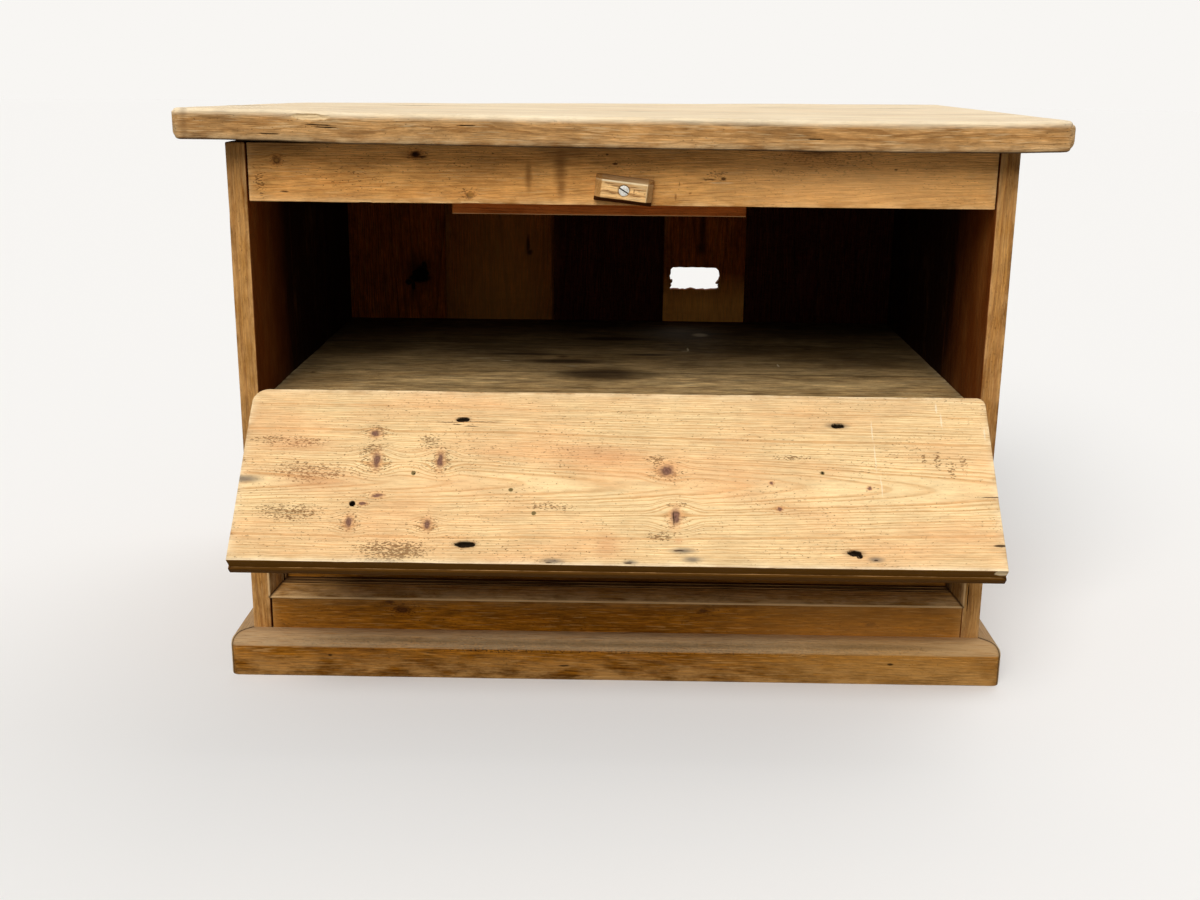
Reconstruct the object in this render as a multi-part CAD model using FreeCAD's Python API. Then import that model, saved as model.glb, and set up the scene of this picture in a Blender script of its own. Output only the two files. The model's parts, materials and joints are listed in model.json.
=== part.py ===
import FreeCAD, Part
import math
import os

from FreeCAD import Vector

# A low wooden baker's cabinet: a plank carcass on a moulded plinth, a heavy
# overhanging top, an upper compartment closed by a fall flap on two butt
# hinges, a wooden turn button that holds the flap shut, and a framed panel
# below. All sizes are in millimetres. The pieces are drawn with the front
# plane of the carcass at y = 0, the floor at z = 0 and the middle at x = 0.
# The flap is drawn shut and then swung open about its hinge pins, and last
# everything is moved so that the origin is under the middle of the whole box.

# Carcass
BODY_WIDTH = 870.0
BODY_DEPTH = 583.0
BODY_HEIGHT = 627.0
PLANK = 22.0                      # thickness of sides, shelf and bearers
HALF_INSIDE = BODY_WIDTH / 2 - PLANK
SIDE_PLANKS = 3
BACK_BOARD = 14.0
BACK_FACE_Y = BODY_DEPTH - BACK_BOARD
BACK_REBATE = 11.0                # how far the back boards sit into the sides
BACK_BOTTOM_Z = 24.0
RAIL_END_CHAMFER = 1.6            # worn arris that shows as a dark line at the rail's ends

# Top
TOP_WIDTH = 959.0
TOP_THICKNESS = 33.0
TOP_FRONT_Y = -45.0
TOP_BACK_Y = 600.0
TOP_CORNER_RADIUS = 9.0
TOP_EDGE_RADIUS = 5.0
TOP_UNDER_RADIUS = 2.5
TOP_PLANK_SEAMS = (162.0, 391.0)  # y of the two joints between the three planks

# Rail, batten and turn button above the flap
TOP_RAIL_Z = 558.5
TOP_RAIL_THICKNESS = 28.0
BATTEN_X = (-190.0, 141.0)
BATTEN_Z = (544.5, 600.0)
BATTEN_THICKNESS = 15.0
BUTTON_X, BUTTON_Z = 3.0, 576.0
BUTTON_LENGTH, BUTTON_HEIGHT, BUTTON_THICKNESS = 64.0, 29.0, 18.0
BUTTON_FACE_LENGTH, BUTTON_FACE_HEIGHT = 50.0, 19.5
BUTTON_SHOULDER = 7.0             # square part of its thickness, below the bevels
BUTTON_TILT = 6.5                 # degrees clockwise, seen from the front
BUTTON_GAP = 0.3
BUTTON_SCREW_HEAD = 11.5
BUTTON_SCREW_SHANK = 5.0
BUTTON_SCREW_LENGTH = 40.0
BUTTON_SCREW_SLOT_TURN = 32.0     # degrees of the slot from level
TURNING_CLEARANCE = 0.08

# Shelf
SHELF_TOP_Z = 330.0
SHELF_SEAMS = (186.0, 378.0)
BEARER = 22.0

# Flap, drawn shut
FLAP_BOARD_HALF_WIDTH = 411.0
FLAP_FRAME_HALF_WIDTH = 412.0
FLAP_BOTTOM_Z = SHELF_TOP_Z + 0.5
FLAP_BOARD_HEIGHT = 213.5
FLAP_LIP = 2.5                    # the outer frame stands past the board at the free edge
FLAP_BOARD_THICKNESS = 16.0
FLAP_FRAME_THICKNESS = 11.0
FLAP_FRAME_WIDTH = 46.0
FLAP_FRAME_BEVEL = 7.0
FLAP_FRONT_Y = 0.5
FLAP_CORNER_LEFT = 18.0
FLAP_CORNER_RIGHT = 10.0
FLAP_EDGE_RADIUS = 1.5
FLAP_OPEN_ANGLE = 135.0

# Butt hinges
HINGE_CENTRES = (-270.0, 270.0)
HINGE_LENGTH = 64.0
HINGE_KNUCKLES = 5
HINGE_KNUCKLE_GAP = 0.3
HINGE_BARREL_RADIUS = 3.2
HINGE_PIN_RADIUS = 1.6
HINGE_PIN_CLEARANCE = 0.05
HINGE_PIN_HEAD_RADIUS = 2.6
HINGE_LEAF_THICKNESS = 2.0
HINGE_LEAF_BACK_Y = 25.0
HINGE_AXIS_Y = -4.0
HINGE_AXIS_Z = SHELF_TOP_Z + 0.25
HINGE_SCREW_Y = 17.0
HINGE_SCREW_STEPS = (-22.0, 0.0, 22.0)
HINGE_SCREW_HEAD = 6.4
HINGE_SCREW_SHANK = 3.4
HINGE_SCREW_LENGTH = 18.0

# Flap rest moulding, which the open flap leans on
REST_TOP_Z = 322.0
REST_PROJECTION = 31.0
REST_LIP = 5.0
REST_BOTTOM_Z = 283.0
REST_FOOT = 7.0
REST_GAP = 0.3

# Lower front: rails, panel and the mitred moulding round it
LOWER_RAIL_THICKNESS = 30.0
MID_RAIL_Z = (268.0, SHELF_TOP_Z - PLANK)
BOTTOM_RAIL_Z = (14.0, 91.6)
PANEL_THICKNESS = 11.0
PANEL_Z = (80.0, 281.0)
PANEL_SEAM_Z = 176.0
MOULDING_BEVEL = (9.5, 20.0)      # inward and back
MOULDING_STEPS = ((11.8, 23.5), (14.5, LOWER_RAIL_THICKNESS))
FLOOR_TOP_Z = 80.0
FLOOR_THICKNESS = 18.0
FLOOR_SEAMS = (205.0, 392.0)

# Plinth
PLINTH_HEIGHT = 52.0
PLINTH_THICKNESS = 24.0
PLINTH_ROUND = 15.0

# Vertical back boards: left and right edge of each, with the gaps they have shrunk to.
# Each board's outer half laps behind the next, so that no gap goes right through.
BACK_BOARD_EDGES = ((-424.0, -266.3), (-265.7, -103.3), (-100.3, 61.7),
                    (67.2, 191.4), (192.0, 302.7), (303.3, 424.0))
BACK_LAP_WIDTH = 10.0
BACK_LAP_THICKNESS = 7.0
BACK_LAP_GAP = 0.8
KNOT_HOLE = (-306.0, 396.0, 15.0, 13.5)       # x, z and the two half sizes
KNOT_HOLE_DEPTH = 10.0
CABLE_SLOT_X, CABLE_SLOT_Z = 115.6, 396.0
CABLE_SLOT_LENGTH, CABLE_SLOT_HEIGHT = 74.0, 34.0

# Nails
NAIL_HEAD_RADIUS, NAIL_HEAD_THICKNESS = 3.0, 1.0
NAIL_SHANK_RADIUS = 1.4
BACK_NAIL_LENGTH = 38.0
BACK_NAIL_INSET = 24.0
PLINTH_NAIL_LENGTH = 42.0
FRAME_NAIL_LENGTH = 24.0

FLAP_FREE_Z = FLAP_BOTTOM_Z + FLAP_BOARD_HEIGHT
FLAP_BOARD_FRONT_Y = FLAP_FRONT_Y + FLAP_FRAME_THICKNESS
FLAP_BACK_Y = FLAP_BOARD_FRONT_Y + FLAP_BOARD_THICKNESS
HINGE_AXIS = Vector(0, HINGE_AXIS_Y, HINGE_AXIS_Z)
OPEN = math.radians(FLAP_OPEN_ANGLE)


def swung_open(y, z):
    """The place of a point of the shut flap once the flap is open."""
    across, up = y - HINGE_AXIS_Y, z - HINGE_AXIS_Z
    return (HINGE_AXIS_Y + across * math.cos(OPEN) - up * math.sin(OPEN),
            HINGE_AXIS_Z + across * math.sin(OPEN) + up * math.cos(OPEN))


FLAP_REACH_Y = swung_open(FLAP_BACK_Y, FLAP_FREE_Z)[0]
MIDDLE_Y = round((FLAP_REACH_Y + TOP_BACK_Y) / 2, 2)

pieces = {}


def block(x, y, z):
    """A plain board between pairs of limits."""
    return Part.makeBox(x[1] - x[0], y[1] - y[0], z[1] - z[0], Vector(x[0], y[0], z[0]))


def run_along_x(outline, x):
    """A solid with a closed outline in the y-z plane, run between two x limits."""
    wire = Part.makePolygon([Vector(x[0], y, z) for y, z in outline + outline[:1]])
    return Part.Face(wire).extrude(Vector(x[1] - x[0], 0, 0))


def arrises(solid, wanted):
    """The edges of a solid whose middle point passes a test."""
    return [edge for edge in solid.Edges if wanted(edge.CenterOfMass)]


def set_into(fitting, *names):
    """Cut the seat of a fitting out of the pieces that it is driven or let into."""
    for name in names:
        pieces[name] = pieces[name].cut(fitting)


def mitred_member(length, reach, outline, depth):
    """One side of a mitred frame, below the frame's middle by its reach.

    The outline has (inward, back) points. The ends are cut at 45 degrees.
    """
    inward = max(point[0] for point in outline)
    half = length / 2
    run = run_along_x([(back, inner - reach) for inner, back in outline], (-half, half))
    corners = [(-half, -reach), (half, -reach), (half - inward, inward - reach), (inward - half, inward - reach)]
    wire = Part.makePolygon([Vector(x, 0, z) for x, z in corners + corners[:1]])
    return run.common(Part.Face(wire).extrude(Vector(0, depth, 0)))


def mitred_frame(width, height, outline, depth, centre):
    """Bottom, left, top and right members of a frame round a centre."""
    members = []
    for turn in range(4):
        upright = turn % 2 == 1
        length, reach = (height, width / 2) if upright else (width, height / 2)
        member = mitred_member(length, reach, outline, depth)
        member.rotate(Vector(0, 0, 0), Vector(0, 1, 0), 90 * turn)
        member.translate(centre)
        members.append(member)
    return members


def countersunk_screw(head, shank, length, slot_turn):
    """A slotted wood screw with its flat head at z = 0, pointing down."""
    head_depth = (head - shank) / 2
    point = shank
    profile = [Vector(0, 0, 0), Vector(head / 2, 0, 0), Vector(shank / 2, 0, -head_depth),
               Vector(shank / 2, 0, point - length), Vector(0, 0, -length), Vector(0, 0, 0)]
    screw = Part.Face(Part.makePolygon(profile)).revolve(Vector(0, 0, 0), Vector(0, 0, 1), 360)
    slot = Part.makeBox(head + 2, head * 0.13, head * 0.12, Vector(-head / 2 - 1, -head * 0.065, -head * 0.12))
    slot.rotate(Vector(0, 0, 0), Vector(0, 0, 1), slot_turn)
    return screw.cut(slot)


def nail(place, direction, length):
    """A round-headed nail with its head's face at a place."""
    head = Part.makeCylinder(NAIL_HEAD_RADIUS, NAIL_HEAD_THICKNESS, place, direction)
    shank = Part.makeCylinder(NAIL_SHANK_RADIUS, length, place, direction)
    return head.fuse(shank).removeSplitter()


def make_sides():
    """Three upright planks to a side, the back one rebated for the back boards."""
    step = BODY_DEPTH / SIDE_PLANKS
    rebate = (BACK_FACE_Y, BODY_DEPTH + 1)
    for side, sign in (("left", -1), ("right", 1)):
        x = sorted((sign * HALF_INSIDE, sign * BODY_WIDTH / 2))
        for number, place in enumerate(("front", "middle", "back")):
            plank = block(x, (number * step, (number + 1) * step), (0, BODY_HEIGHT))
            if place == "back":
                seat = sorted((sign * (HALF_INSIDE - 1), sign * (HALF_INSIDE + BACK_REBATE)))
                plank = plank.cut(block(seat, rebate, (BACK_BOTTOM_Z, BODY_HEIGHT + 1)))
            pieces[f"side_{side}_{place}_plank"] = plank


def make_top():
    """Three thick planks edge to edge, with worn corners and arrises."""
    half = TOP_WIDTH / 2
    level = (BODY_HEIGHT, BODY_HEIGHT + TOP_THICKNESS)
    slab = block((-half, half), (TOP_FRONT_Y, TOP_BACK_Y), level)
    middle = sum(level) / 2
    slab = slab.makeFillet(TOP_CORNER_RADIUS, arrises(slab, lambda p: abs(p.z - middle) < 1))
    slab = slab.makeFillet(TOP_EDGE_RADIUS, arrises(slab, lambda p: p.z > level[1] - 0.01))
    slab = slab.makeFillet(TOP_UNDER_RADIUS, arrises(slab, lambda p: p.z < level[0] + 0.01))
    limits = (TOP_FRONT_Y - 1,) + TOP_PLANK_SEAMS + (TOP_BACK_Y + 1,)
    for number, place in enumerate(("front", "middle", "back")):
        cut = block((-half - 1, half + 1), limits[number:number + 2], (level[0] - 1, level[1] + 1))
        pieces[f"top_{place}_plank"] = slab.common(cut)


def make_upper_rail():
    """The rail under the top, the stop batten behind it and the cleats that hold the top."""
    rail = block((-HALF_INSIDE, HALF_INSIDE), (0, TOP_RAIL_THICKNESS), (TOP_RAIL_Z, BODY_HEIGHT))
    ends = arrises(rail, lambda p: abs(p.y) < 0.01 and abs(p.x) > HALF_INSIDE - 0.01)
    pieces["top_rail"] = rail.makeChamfer(RAIL_END_CHAMFER, ends)
    behind = (TOP_RAIL_THICKNESS, TOP_RAIL_THICKNESS + BATTEN_THICKNESS)
    pieces["stop_batten"] = block(BATTEN_X, behind, BATTEN_Z)
    level = (BODY_HEIGHT - BEARER, BODY_HEIGHT)
    pieces["top_back_rail"] = block((-HALF_INSIDE, HALF_INSIDE), (BACK_FACE_Y - BEARER, BACK_FACE_Y), level)
    for side, x in sides_of(BEARER):
        pieces[f"top_cleat_{side}"] = block(x, (TOP_RAIL_THICKNESS, BACK_FACE_Y - BEARER), level)


def sides_of(width):
    """The x limits of a strip against each side's inner face."""
    return (("left", (-HALF_INSIDE, width - HALF_INSIDE)), ("right", (HALF_INSIDE - width, HALF_INSIDE)))


def make_turn_button():
    """A bevelled wooden button on one slotted screw, tilted a little off level."""
    def rectangle(length, height, y):
        x, z = length / 2, height / 2
        corners = [(-x, -z), (x, -z), (x, z), (-x, z), (-x, -z)]
        return Part.makePolygon([Vector(a, y, b) for a, b in corners])

    front = -BUTTON_GAP - BUTTON_THICKNESS
    shoulder = -BUTTON_GAP - BUTTON_SHOULDER
    half_length, half_height = BUTTON_LENGTH / 2, BUTTON_HEIGHT / 2
    base = block((-half_length, half_length), (shoulder, -BUTTON_GAP), (-half_height, half_height))
    bevels = Part.makeLoft([rectangle(BUTTON_LENGTH, BUTTON_HEIGHT, shoulder),
                            rectangle(BUTTON_FACE_LENGTH, BUTTON_FACE_HEIGHT, front)], True, True)
    button = base.fuse(bevels).removeSplitter()
    screw = countersunk_screw(BUTTON_SCREW_HEAD, BUTTON_SCREW_SHANK, BUTTON_SCREW_LENGTH, -BUTTON_SCREW_SLOT_TURN)
    seat_head = BUTTON_SCREW_HEAD + 4 * TURNING_CLEARANCE
    seat_depth = (BUTTON_SCREW_HEAD - BUTTON_SCREW_SHANK) / 2
    bore_radius = BUTTON_SCREW_SHANK / 2 + TURNING_CLEARANCE
    bore = Part.makeCylinder(bore_radius, BUTTON_THICKNESS + 2, Vector(0, front - 1, 0), Vector(0, 1, 0))
    sink = Part.makeCone(seat_head / 2, bore_radius, seat_depth, Vector(0, front, 0), Vector(0, 1, 0))
    button = button.cut(bore).cut(sink)
    button.rotate(Vector(0, 0, 0), Vector(0, 1, 0), BUTTON_TILT)
    screw.rotate(Vector(0, 0, 0), Vector(1, 0, 0), 90)
    screw.translate(Vector(0, front, 0))
    for shape in (button, screw):
        shape.translate(Vector(BUTTON_X, 0, BUTTON_Z))
    pieces["turn_button"] = button
    pieces["turn_button_screw"] = screw
    set_into(screw, "top_rail")


def make_planked_level(name, seams, front_y, level, kind):
    """Boards side by side from the front to the back boards."""
    limits = (front_y,) + seams + (BACK_FACE_Y,)
    for number, place in enumerate(("front", "middle", "back")):
        boards = block((-HALF_INSIDE, HALF_INSIDE), limits[number:number + 2], level)
        pieces[f"{name}_{place}_{kind}"] = boards


def make_shelf_and_floor():
    """The shelf, the floor and the bearers under them."""
    shelf = (SHELF_TOP_Z - PLANK, SHELF_TOP_Z)
    floor = (FLOOR_TOP_Z - FLOOR_THICKNESS, FLOOR_TOP_Z)
    make_planked_level("shelf", SHELF_SEAMS, 0.0, shelf, "plank")
    make_planked_level("floor", FLOOR_SEAMS, LOWER_RAIL_THICKNESS, floor, "board")
    for name, under in (("shelf", shelf[0]), ("floor", floor[0])):
        for side, x in sides_of(BEARER):
            bearer = block(x, (LOWER_RAIL_THICKNESS, BACK_FACE_Y), (under - BEARER, under))
            pieces[f"{name}_bearer_{side}"] = bearer


def make_lower_front():
    """Two rails, a panel of two boards behind them and a mitred moulding round it."""
    inside = (-HALF_INSIDE, HALF_INSIDE)
    pieces["mid_rail"] = block(inside, (0, LOWER_RAIL_THICKNESS), MID_RAIL_Z)
    pieces["bottom_rail"] = block(inside, (0, LOWER_RAIL_THICKNESS), BOTTOM_RAIL_Z)
    behind = (LOWER_RAIL_THICKNESS, LOWER_RAIL_THICKNESS + PANEL_THICKNESS)
    pieces["lower_panel_board_bottom"] = block(inside, behind, (PANEL_Z[0], PANEL_SEAM_Z))
    pieces["lower_panel_board_top"] = block(inside, behind, (PANEL_SEAM_Z, PANEL_Z[1]))
    bevel, (first, second) = MOULDING_BEVEL, MOULDING_STEPS
    outline = [(0, 0), bevel, (first[0], bevel[1]), first, (second[0], first[1]), second, (0, second[1])]
    height = MID_RAIL_Z[0] - BOTTOM_RAIL_Z[1]
    centre = Vector(0, 0, BOTTOM_RAIL_Z[1] + height / 2)
    members = mitred_frame(2 * HALF_INSIDE, height, outline, LOWER_RAIL_THICKNESS, centre)
    for place, member in zip(("bottom", "left", "top", "right"), members):
        pieces[f"panel_moulding_{place}"] = member


def make_flap_rest():
    """A coved moulding under the hinge line, bevelled to the slope of the open flap."""
    face_y, face_z = swung_open(FLAP_FRONT_Y, FLAP_BOTTOM_Z)
    down_y, down_z = -math.sin(OPEN), math.cos(OPEN)

    def on_bevel(y):
        return face_z + (y - face_y) * down_z / down_y - REST_GAP / abs(down_y)

    top_y = face_y + (REST_TOP_Z - face_z + REST_GAP / abs(down_y)) * down_y / down_z
    nose_z = on_bevel(-REST_PROJECTION)
    cove_start = Vector(-HALF_INSIDE, -REST_PROJECTION, nose_z - REST_LIP)
    cove_end = Vector(-HALF_INSIDE, -REST_FOOT, REST_BOTTOM_Z)
    slack = 0.30
    bow = Vector(-HALF_INSIDE,
                 (cove_start.y + cove_end.y) / 2 + slack * (cove_end.y - cove_start.y) / 2,
                 (cove_start.z + cove_end.z) / 2 + slack * (cove_start.z - cove_end.z) / 2)
    line = [Vector(-HALF_INSIDE, -REST_FOOT, REST_BOTTOM_Z), Vector(-HALF_INSIDE, 0, REST_BOTTOM_Z),
            Vector(-HALF_INSIDE, 0, REST_TOP_Z), Vector(-HALF_INSIDE, top_y, REST_TOP_Z),
            Vector(-HALF_INSIDE, -REST_PROJECTION, nose_z), cove_start]
    edges = [Part.LineSegment(a, b).toShape() for a, b in zip(line, line[1:])]
    edges.append(Part.Arc(cove_start, bow, cove_end).toShape())
    face = Part.Face(Part.Wire(edges))
    pieces["flap_rest_moulding"] = face.extrude(Vector(2 * HALF_INSIDE, 0, 0))


def make_plinth():
    """A front and two returns with a rounded top, mitred at the front corners."""
    def profile(outward):
        out, up = PLINTH_THICKNESS, PLINTH_HEIGHT
        square, level = out - PLINTH_ROUND, up - PLINTH_ROUND
        bow = PLINTH_ROUND * math.sqrt(0.5)
        place = [(0, 0), (out, 0), (out, level), (square, up), (0, up), (0, 0)]
        corners = [outward(across, height) for across, height in place]
        edges = [Part.LineSegment(a, b).toShape() for a, b in zip(corners, corners[1:])]
        edges[2] = Part.Arc(corners[2], outward(square + bow, level + bow), corners[3]).toShape()
        return Part.Face(Part.Wire(edges))

    half, reach = BODY_WIDTH / 2, BODY_WIDTH / 2 + PLINTH_THICKNESS
    front = profile(lambda out, up: Vector(-reach, -out, up)).extrude(Vector(2 * reach, 0, 0))
    mitre = [Vector(-reach, -PLINTH_THICKNESS, 0), Vector(reach, -PLINTH_THICKNESS, 0),
             Vector(half, 0, 0), Vector(-half, 0, 0), Vector(-reach, -PLINTH_THICKNESS, 0)]
    front_room = Part.Face(Part.makePolygon(mitre)).extrude(Vector(0, 0, PLINTH_HEIGHT))
    pieces["plinth_front"] = front.common(front_room)
    for side, sign in (("left", -1), ("right", 1)):
        start = profile(lambda out, up: Vector(sign * (half + out), -PLINTH_THICKNESS, up))
        run = start.extrude(Vector(0, PLINTH_THICKNESS + BODY_DEPTH, 0))
        pieces[f"plinth_{side}"] = run.cut(front_room)


def make_back_boards():
    """Six upright lapped boards, one with a fallen knot and one with a broken-out cable slot."""
    height = (BACK_BOTTOM_Z, BODY_HEIGHT)
    outer_half = (BODY_DEPTH - BACK_LAP_THICKNESS, BODY_DEPTH)
    lap_end = BACK_BOARD_EDGES[0][0]
    for number, x in enumerate(BACK_BOARD_EDGES, start=1):
        board = block(x, (BACK_FACE_Y, BODY_DEPTH), height)
        if number > 1:
            board = board.cut(block((x[0] - 1, lap_end + BACK_LAP_GAP), outer_half, height))
        if number < len(BACK_BOARD_EDGES):
            lap_end = x[1] + BACK_LAP_WIDTH
            board = board.fuse(block((x[1], lap_end), outer_half, height)).removeSplitter()
        pieces[f"back_board_{number}"] = board
    through = Vector(0, BACK_BOARD + 2, 0)
    pocket = Vector(0, KNOT_HOLE_DEPTH + 1, 0)
    x, z, half_x, half_z = KNOT_HOLE
    knot = Part.Ellipse(Vector(x, BACK_FACE_Y - 1, z), half_x, half_z)
    knot.Axis = Vector(0, 1, 0)
    set_into(Part.Face(Part.Wire(knot.toShape())).extrude(pocket), "back_board_1")
    half_length, half_height = CABLE_SLOT_LENGTH / 2, CABLE_SLOT_HEIGHT / 2
    ragged = ((-1.0, 0.9), (-0.55, 1.0), (0.5, 0.94), (1.0, 0.75), (0.96, -0.6), (0.62, -0.72),
              (0.40, -1.0), (0.1, -0.82), (-0.22, -1.0), (-0.5, -0.78), (-0.93, -1.0))
    corners = [Vector(CABLE_SLOT_X + half_length * across, BACK_FACE_Y - 1, CABLE_SLOT_Z + half_height * up)
               for across, up in ragged + ragged[:1]]
    set_into(Part.Face(Part.makePolygon(corners)).extrude(through), "back_board_4")


def make_flap():
    """The flap's wide board and the mitred frame planted on its outer face, drawn shut."""
    half_board, half_frame = FLAP_BOARD_HALF_WIDTH, FLAP_FRAME_HALF_WIDTH
    board = block((-half_board, half_board), (FLAP_BOARD_FRONT_Y, FLAP_BACK_Y), (FLAP_BOTTOM_Z, FLAP_FREE_Z))
    board = board.makeFillet(FLAP_EDGE_RADIUS, arrises(board, lambda p: p.y > FLAP_BACK_Y - 0.01))
    height = FLAP_BOARD_HEIGHT + FLAP_LIP
    depth, width, bevel = FLAP_FRAME_THICKNESS, FLAP_FRAME_WIDTH, FLAP_FRAME_BEVEL
    outline = [(0, 1.5), (1.5, 0), (width - bevel, 0), (width, depth * 0.6), (width, depth), (0, depth)]
    centre = Vector(0, FLAP_FRONT_Y, FLAP_BOTTOM_Z + height / 2)
    members = mitred_frame(2 * half_frame, height, outline, depth, centre)
    names = [f"flap_frame_{place}" for place in ("bottom", "left", "top", "right")]
    pieces["flap_board"] = board
    pieces.update(zip(names, members))
    for sign, radius in ((-1, FLAP_CORNER_LEFT), (1, FLAP_CORNER_RIGHT)):
        corner_x = sign * half_frame
        inner_x = corner_x - sign * radius
        room = (FLAP_FRONT_Y - 1, FLAP_BACK_Y + 1)
        waste = block(sorted((corner_x + sign, inner_x)), room, (FLAP_BOTTOM_Z - 1, FLAP_BOTTOM_Z + radius))
        round_part = Part.makeCylinder(radius, room[1] - room[0], Vector(inner_x, room[0], FLAP_BOTTOM_Z + radius),
                                       Vector(0, 1, 0))
        set_into(waste.cut(round_part), "flap_board", *names)
    return names


def make_hinges(frame_names):
    """Two butt hinges: fixed leaves on the shelf, moving leaves on the flap's edge, and pins."""
    step = HINGE_LENGTH / HINGE_KNUCKLES
    shelf_screws, flap_screws = [], []
    for side, centre in zip(("left", "right"), HINGE_CENTRES):
        start = centre - HINGE_LENGTH / 2
        pin_start = Vector(start - 1.0, HINGE_AXIS_Y, HINGE_AXIS_Z)
        pin = Part.makeCylinder(HINGE_PIN_RADIUS, HINGE_LENGTH + 2.0, pin_start, Vector(1, 0, 0))
        for place in (start - 1.8, start + HINGE_LENGTH + 0.2):
            head = Part.makeCylinder(HINGE_PIN_HEAD_RADIUS, 1.6, Vector(place, HINGE_AXIS_Y, HINGE_AXIS_Z),
                                     Vector(1, 0, 0))
            pin = pin.fuse(head)
        pieces[f"hinge_{side}_pin"] = pin.removeSplitter()
        for leaf_name, first, up in (("fixed", 0, -1), ("moving", 1, 1)):
            surface = HINGE_AXIS_Z + up * 0.25
            level = sorted((surface, surface + up * HINGE_LEAF_THICKNESS))
            leaf = block((start, start + HINGE_LENGTH), (FLAP_FRONT_Y, HINGE_LEAF_BACK_Y), level)
            for knuckle in range(first, HINGE_KNUCKLES, 2):
                x = (start + knuckle * step + HINGE_KNUCKLE_GAP / 2, start + (knuckle + 1) * step - HINGE_KNUCKLE_GAP / 2)
                barrel = Part.makeCylinder(HINGE_BARREL_RADIUS, x[1] - x[0], Vector(x[0], HINGE_AXIS_Y, HINGE_AXIS_Z),
                                           Vector(1, 0, 0))
                tongue = block(x, (HINGE_AXIS_Y, FLAP_FRONT_Y), level)
                leaf = leaf.fuse(barrel).fuse(tongue)
            clearance = 0.0 if leaf_name == "fixed" else HINGE_PIN_CLEARANCE
            bore = Part.makeCylinder(HINGE_PIN_RADIUS + clearance, HINGE_LENGTH + 2, pin_start, Vector(1, 0, 0))
            leaf = leaf.removeSplitter().cut(bore)
            for offset in HINGE_SCREW_STEPS:
                screw = countersunk_screw(HINGE_SCREW_HEAD, HINGE_SCREW_SHANK, HINGE_SCREW_LENGTH, 40 + 3 * offset)
                if up > 0:
                    screw.rotate(Vector(0, 0, 0), Vector(1, 0, 0), 180)
                screw.translate(Vector(centre + offset, HINGE_SCREW_Y, surface))
                leaf = leaf.cut(screw)
                (flap_screws if up > 0 else shelf_screws).append(screw)
            pieces[f"hinge_{side}_{leaf_name}_leaf"] = leaf
            seat = block((start, start + HINGE_LENGTH), (FLAP_FRONT_Y - 1.0, HINGE_LEAF_BACK_Y), level)
            set_into(seat, *(["shelf_front_plank"] if up < 0 else ["flap_board", "flap_frame_bottom"]))
    pieces["hinge_shelf_screws"] = Part.makeCompound(shelf_screws)
    pieces["hinge_flap_screws"] = Part.makeCompound(flap_screws)
    set_into(pieces["hinge_shelf_screws"], "shelf_front_plank")
    set_into(pieces["hinge_flap_screws"], "flap_board", *frame_names)


def make_nails(frame_names):
    """Nails through the back boards, the plinth and the flap's planted frame."""
    back = []
    for x in BACK_BOARD_EDGES:
        for z in (SHELF_TOP_Z - PLANK / 2, FLOOR_TOP_Z - FLOOR_THICKNESS / 2, BODY_HEIGHT - BEARER / 2):
            for place in (max(x[0], -HALF_INSIDE) + BACK_NAIL_INSET, min(x[1], HALF_INSIDE) - BACK_NAIL_INSET):
                back.append(nail(Vector(place, BODY_DEPTH, z), Vector(0, -1, 0), BACK_NAIL_LENGTH))
    pieces["back_board_nails"] = Part.makeCompound(back)
    boards = [f"back_board_{number}" for number in range(1, len(BACK_BOARD_EDGES) + 1)]
    set_into(pieces["back_board_nails"], "shelf_back_plank", "floor_back_board", "top_back_rail", *boards)

    level = PLINTH_HEIGHT / 2
    plinth = []
    for x in (-400.0, -210.0, 0.0, 210.0, 400.0):
        plinth.append(nail(Vector(x, -PLINTH_THICKNESS, level), Vector(0, 1, 0), PLINTH_NAIL_LENGTH))
    for sign in (-1, 1):
        for y in (60.0, 290.0, 520.0):
            place = Vector(sign * (BODY_WIDTH / 2 + PLINTH_THICKNESS), y, level)
            plinth.append(nail(place, Vector(-sign, 0, 0), PLINTH_NAIL_LENGTH))
    pieces["plinth_nails"] = Part.makeCompound(plinth)
    sides = [name for name in pieces if name.startswith("side_")]
    set_into(pieces["plinth_nails"], "plinth_front", "plinth_left", "plinth_right", "bottom_rail", *sides)

    frame = []
    low, high = FLAP_BOTTOM_Z + 30.0, FLAP_FREE_Z - FLAP_FRAME_WIDTH / 2
    for x in (-388.0, -190.0, 0.0, 190.0, 388.0):
        for z in (low, high):
            frame.append(nail(Vector(x, FLAP_FRONT_Y, z), Vector(0, 1, 0), FRAME_NAIL_LENGTH))
    pieces["flap_frame_nails"] = Part.makeCompound(frame)
    set_into(pieces["flap_frame_nails"], "flap_board", *frame_names)


def swing_flap(frame_names):
    """Open the finished flap about its hinge pins until it meets its rest."""
    on_flap = ["flap_board", "hinge_left_moving_leaf", "hinge_right_moving_leaf",
               "hinge_flap_screws", "flap_frame_nails"] + frame_names
    for name in on_flap:
        pieces[name] = pieces[name].copy()
        pieces[name].rotate(HINGE_AXIS, Vector(1, 0, 0), FLAP_OPEN_ANGLE)


make_sides()
make_top()
make_upper_rail()
make_turn_button()
make_shelf_and_floor()
make_lower_front()
make_flap_rest()
make_plinth()
make_back_boards()
flap_frame_names = make_flap()
make_hinges(flap_frame_names)
make_nails(flap_frame_names)
swing_flap(flap_frame_names)

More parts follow.
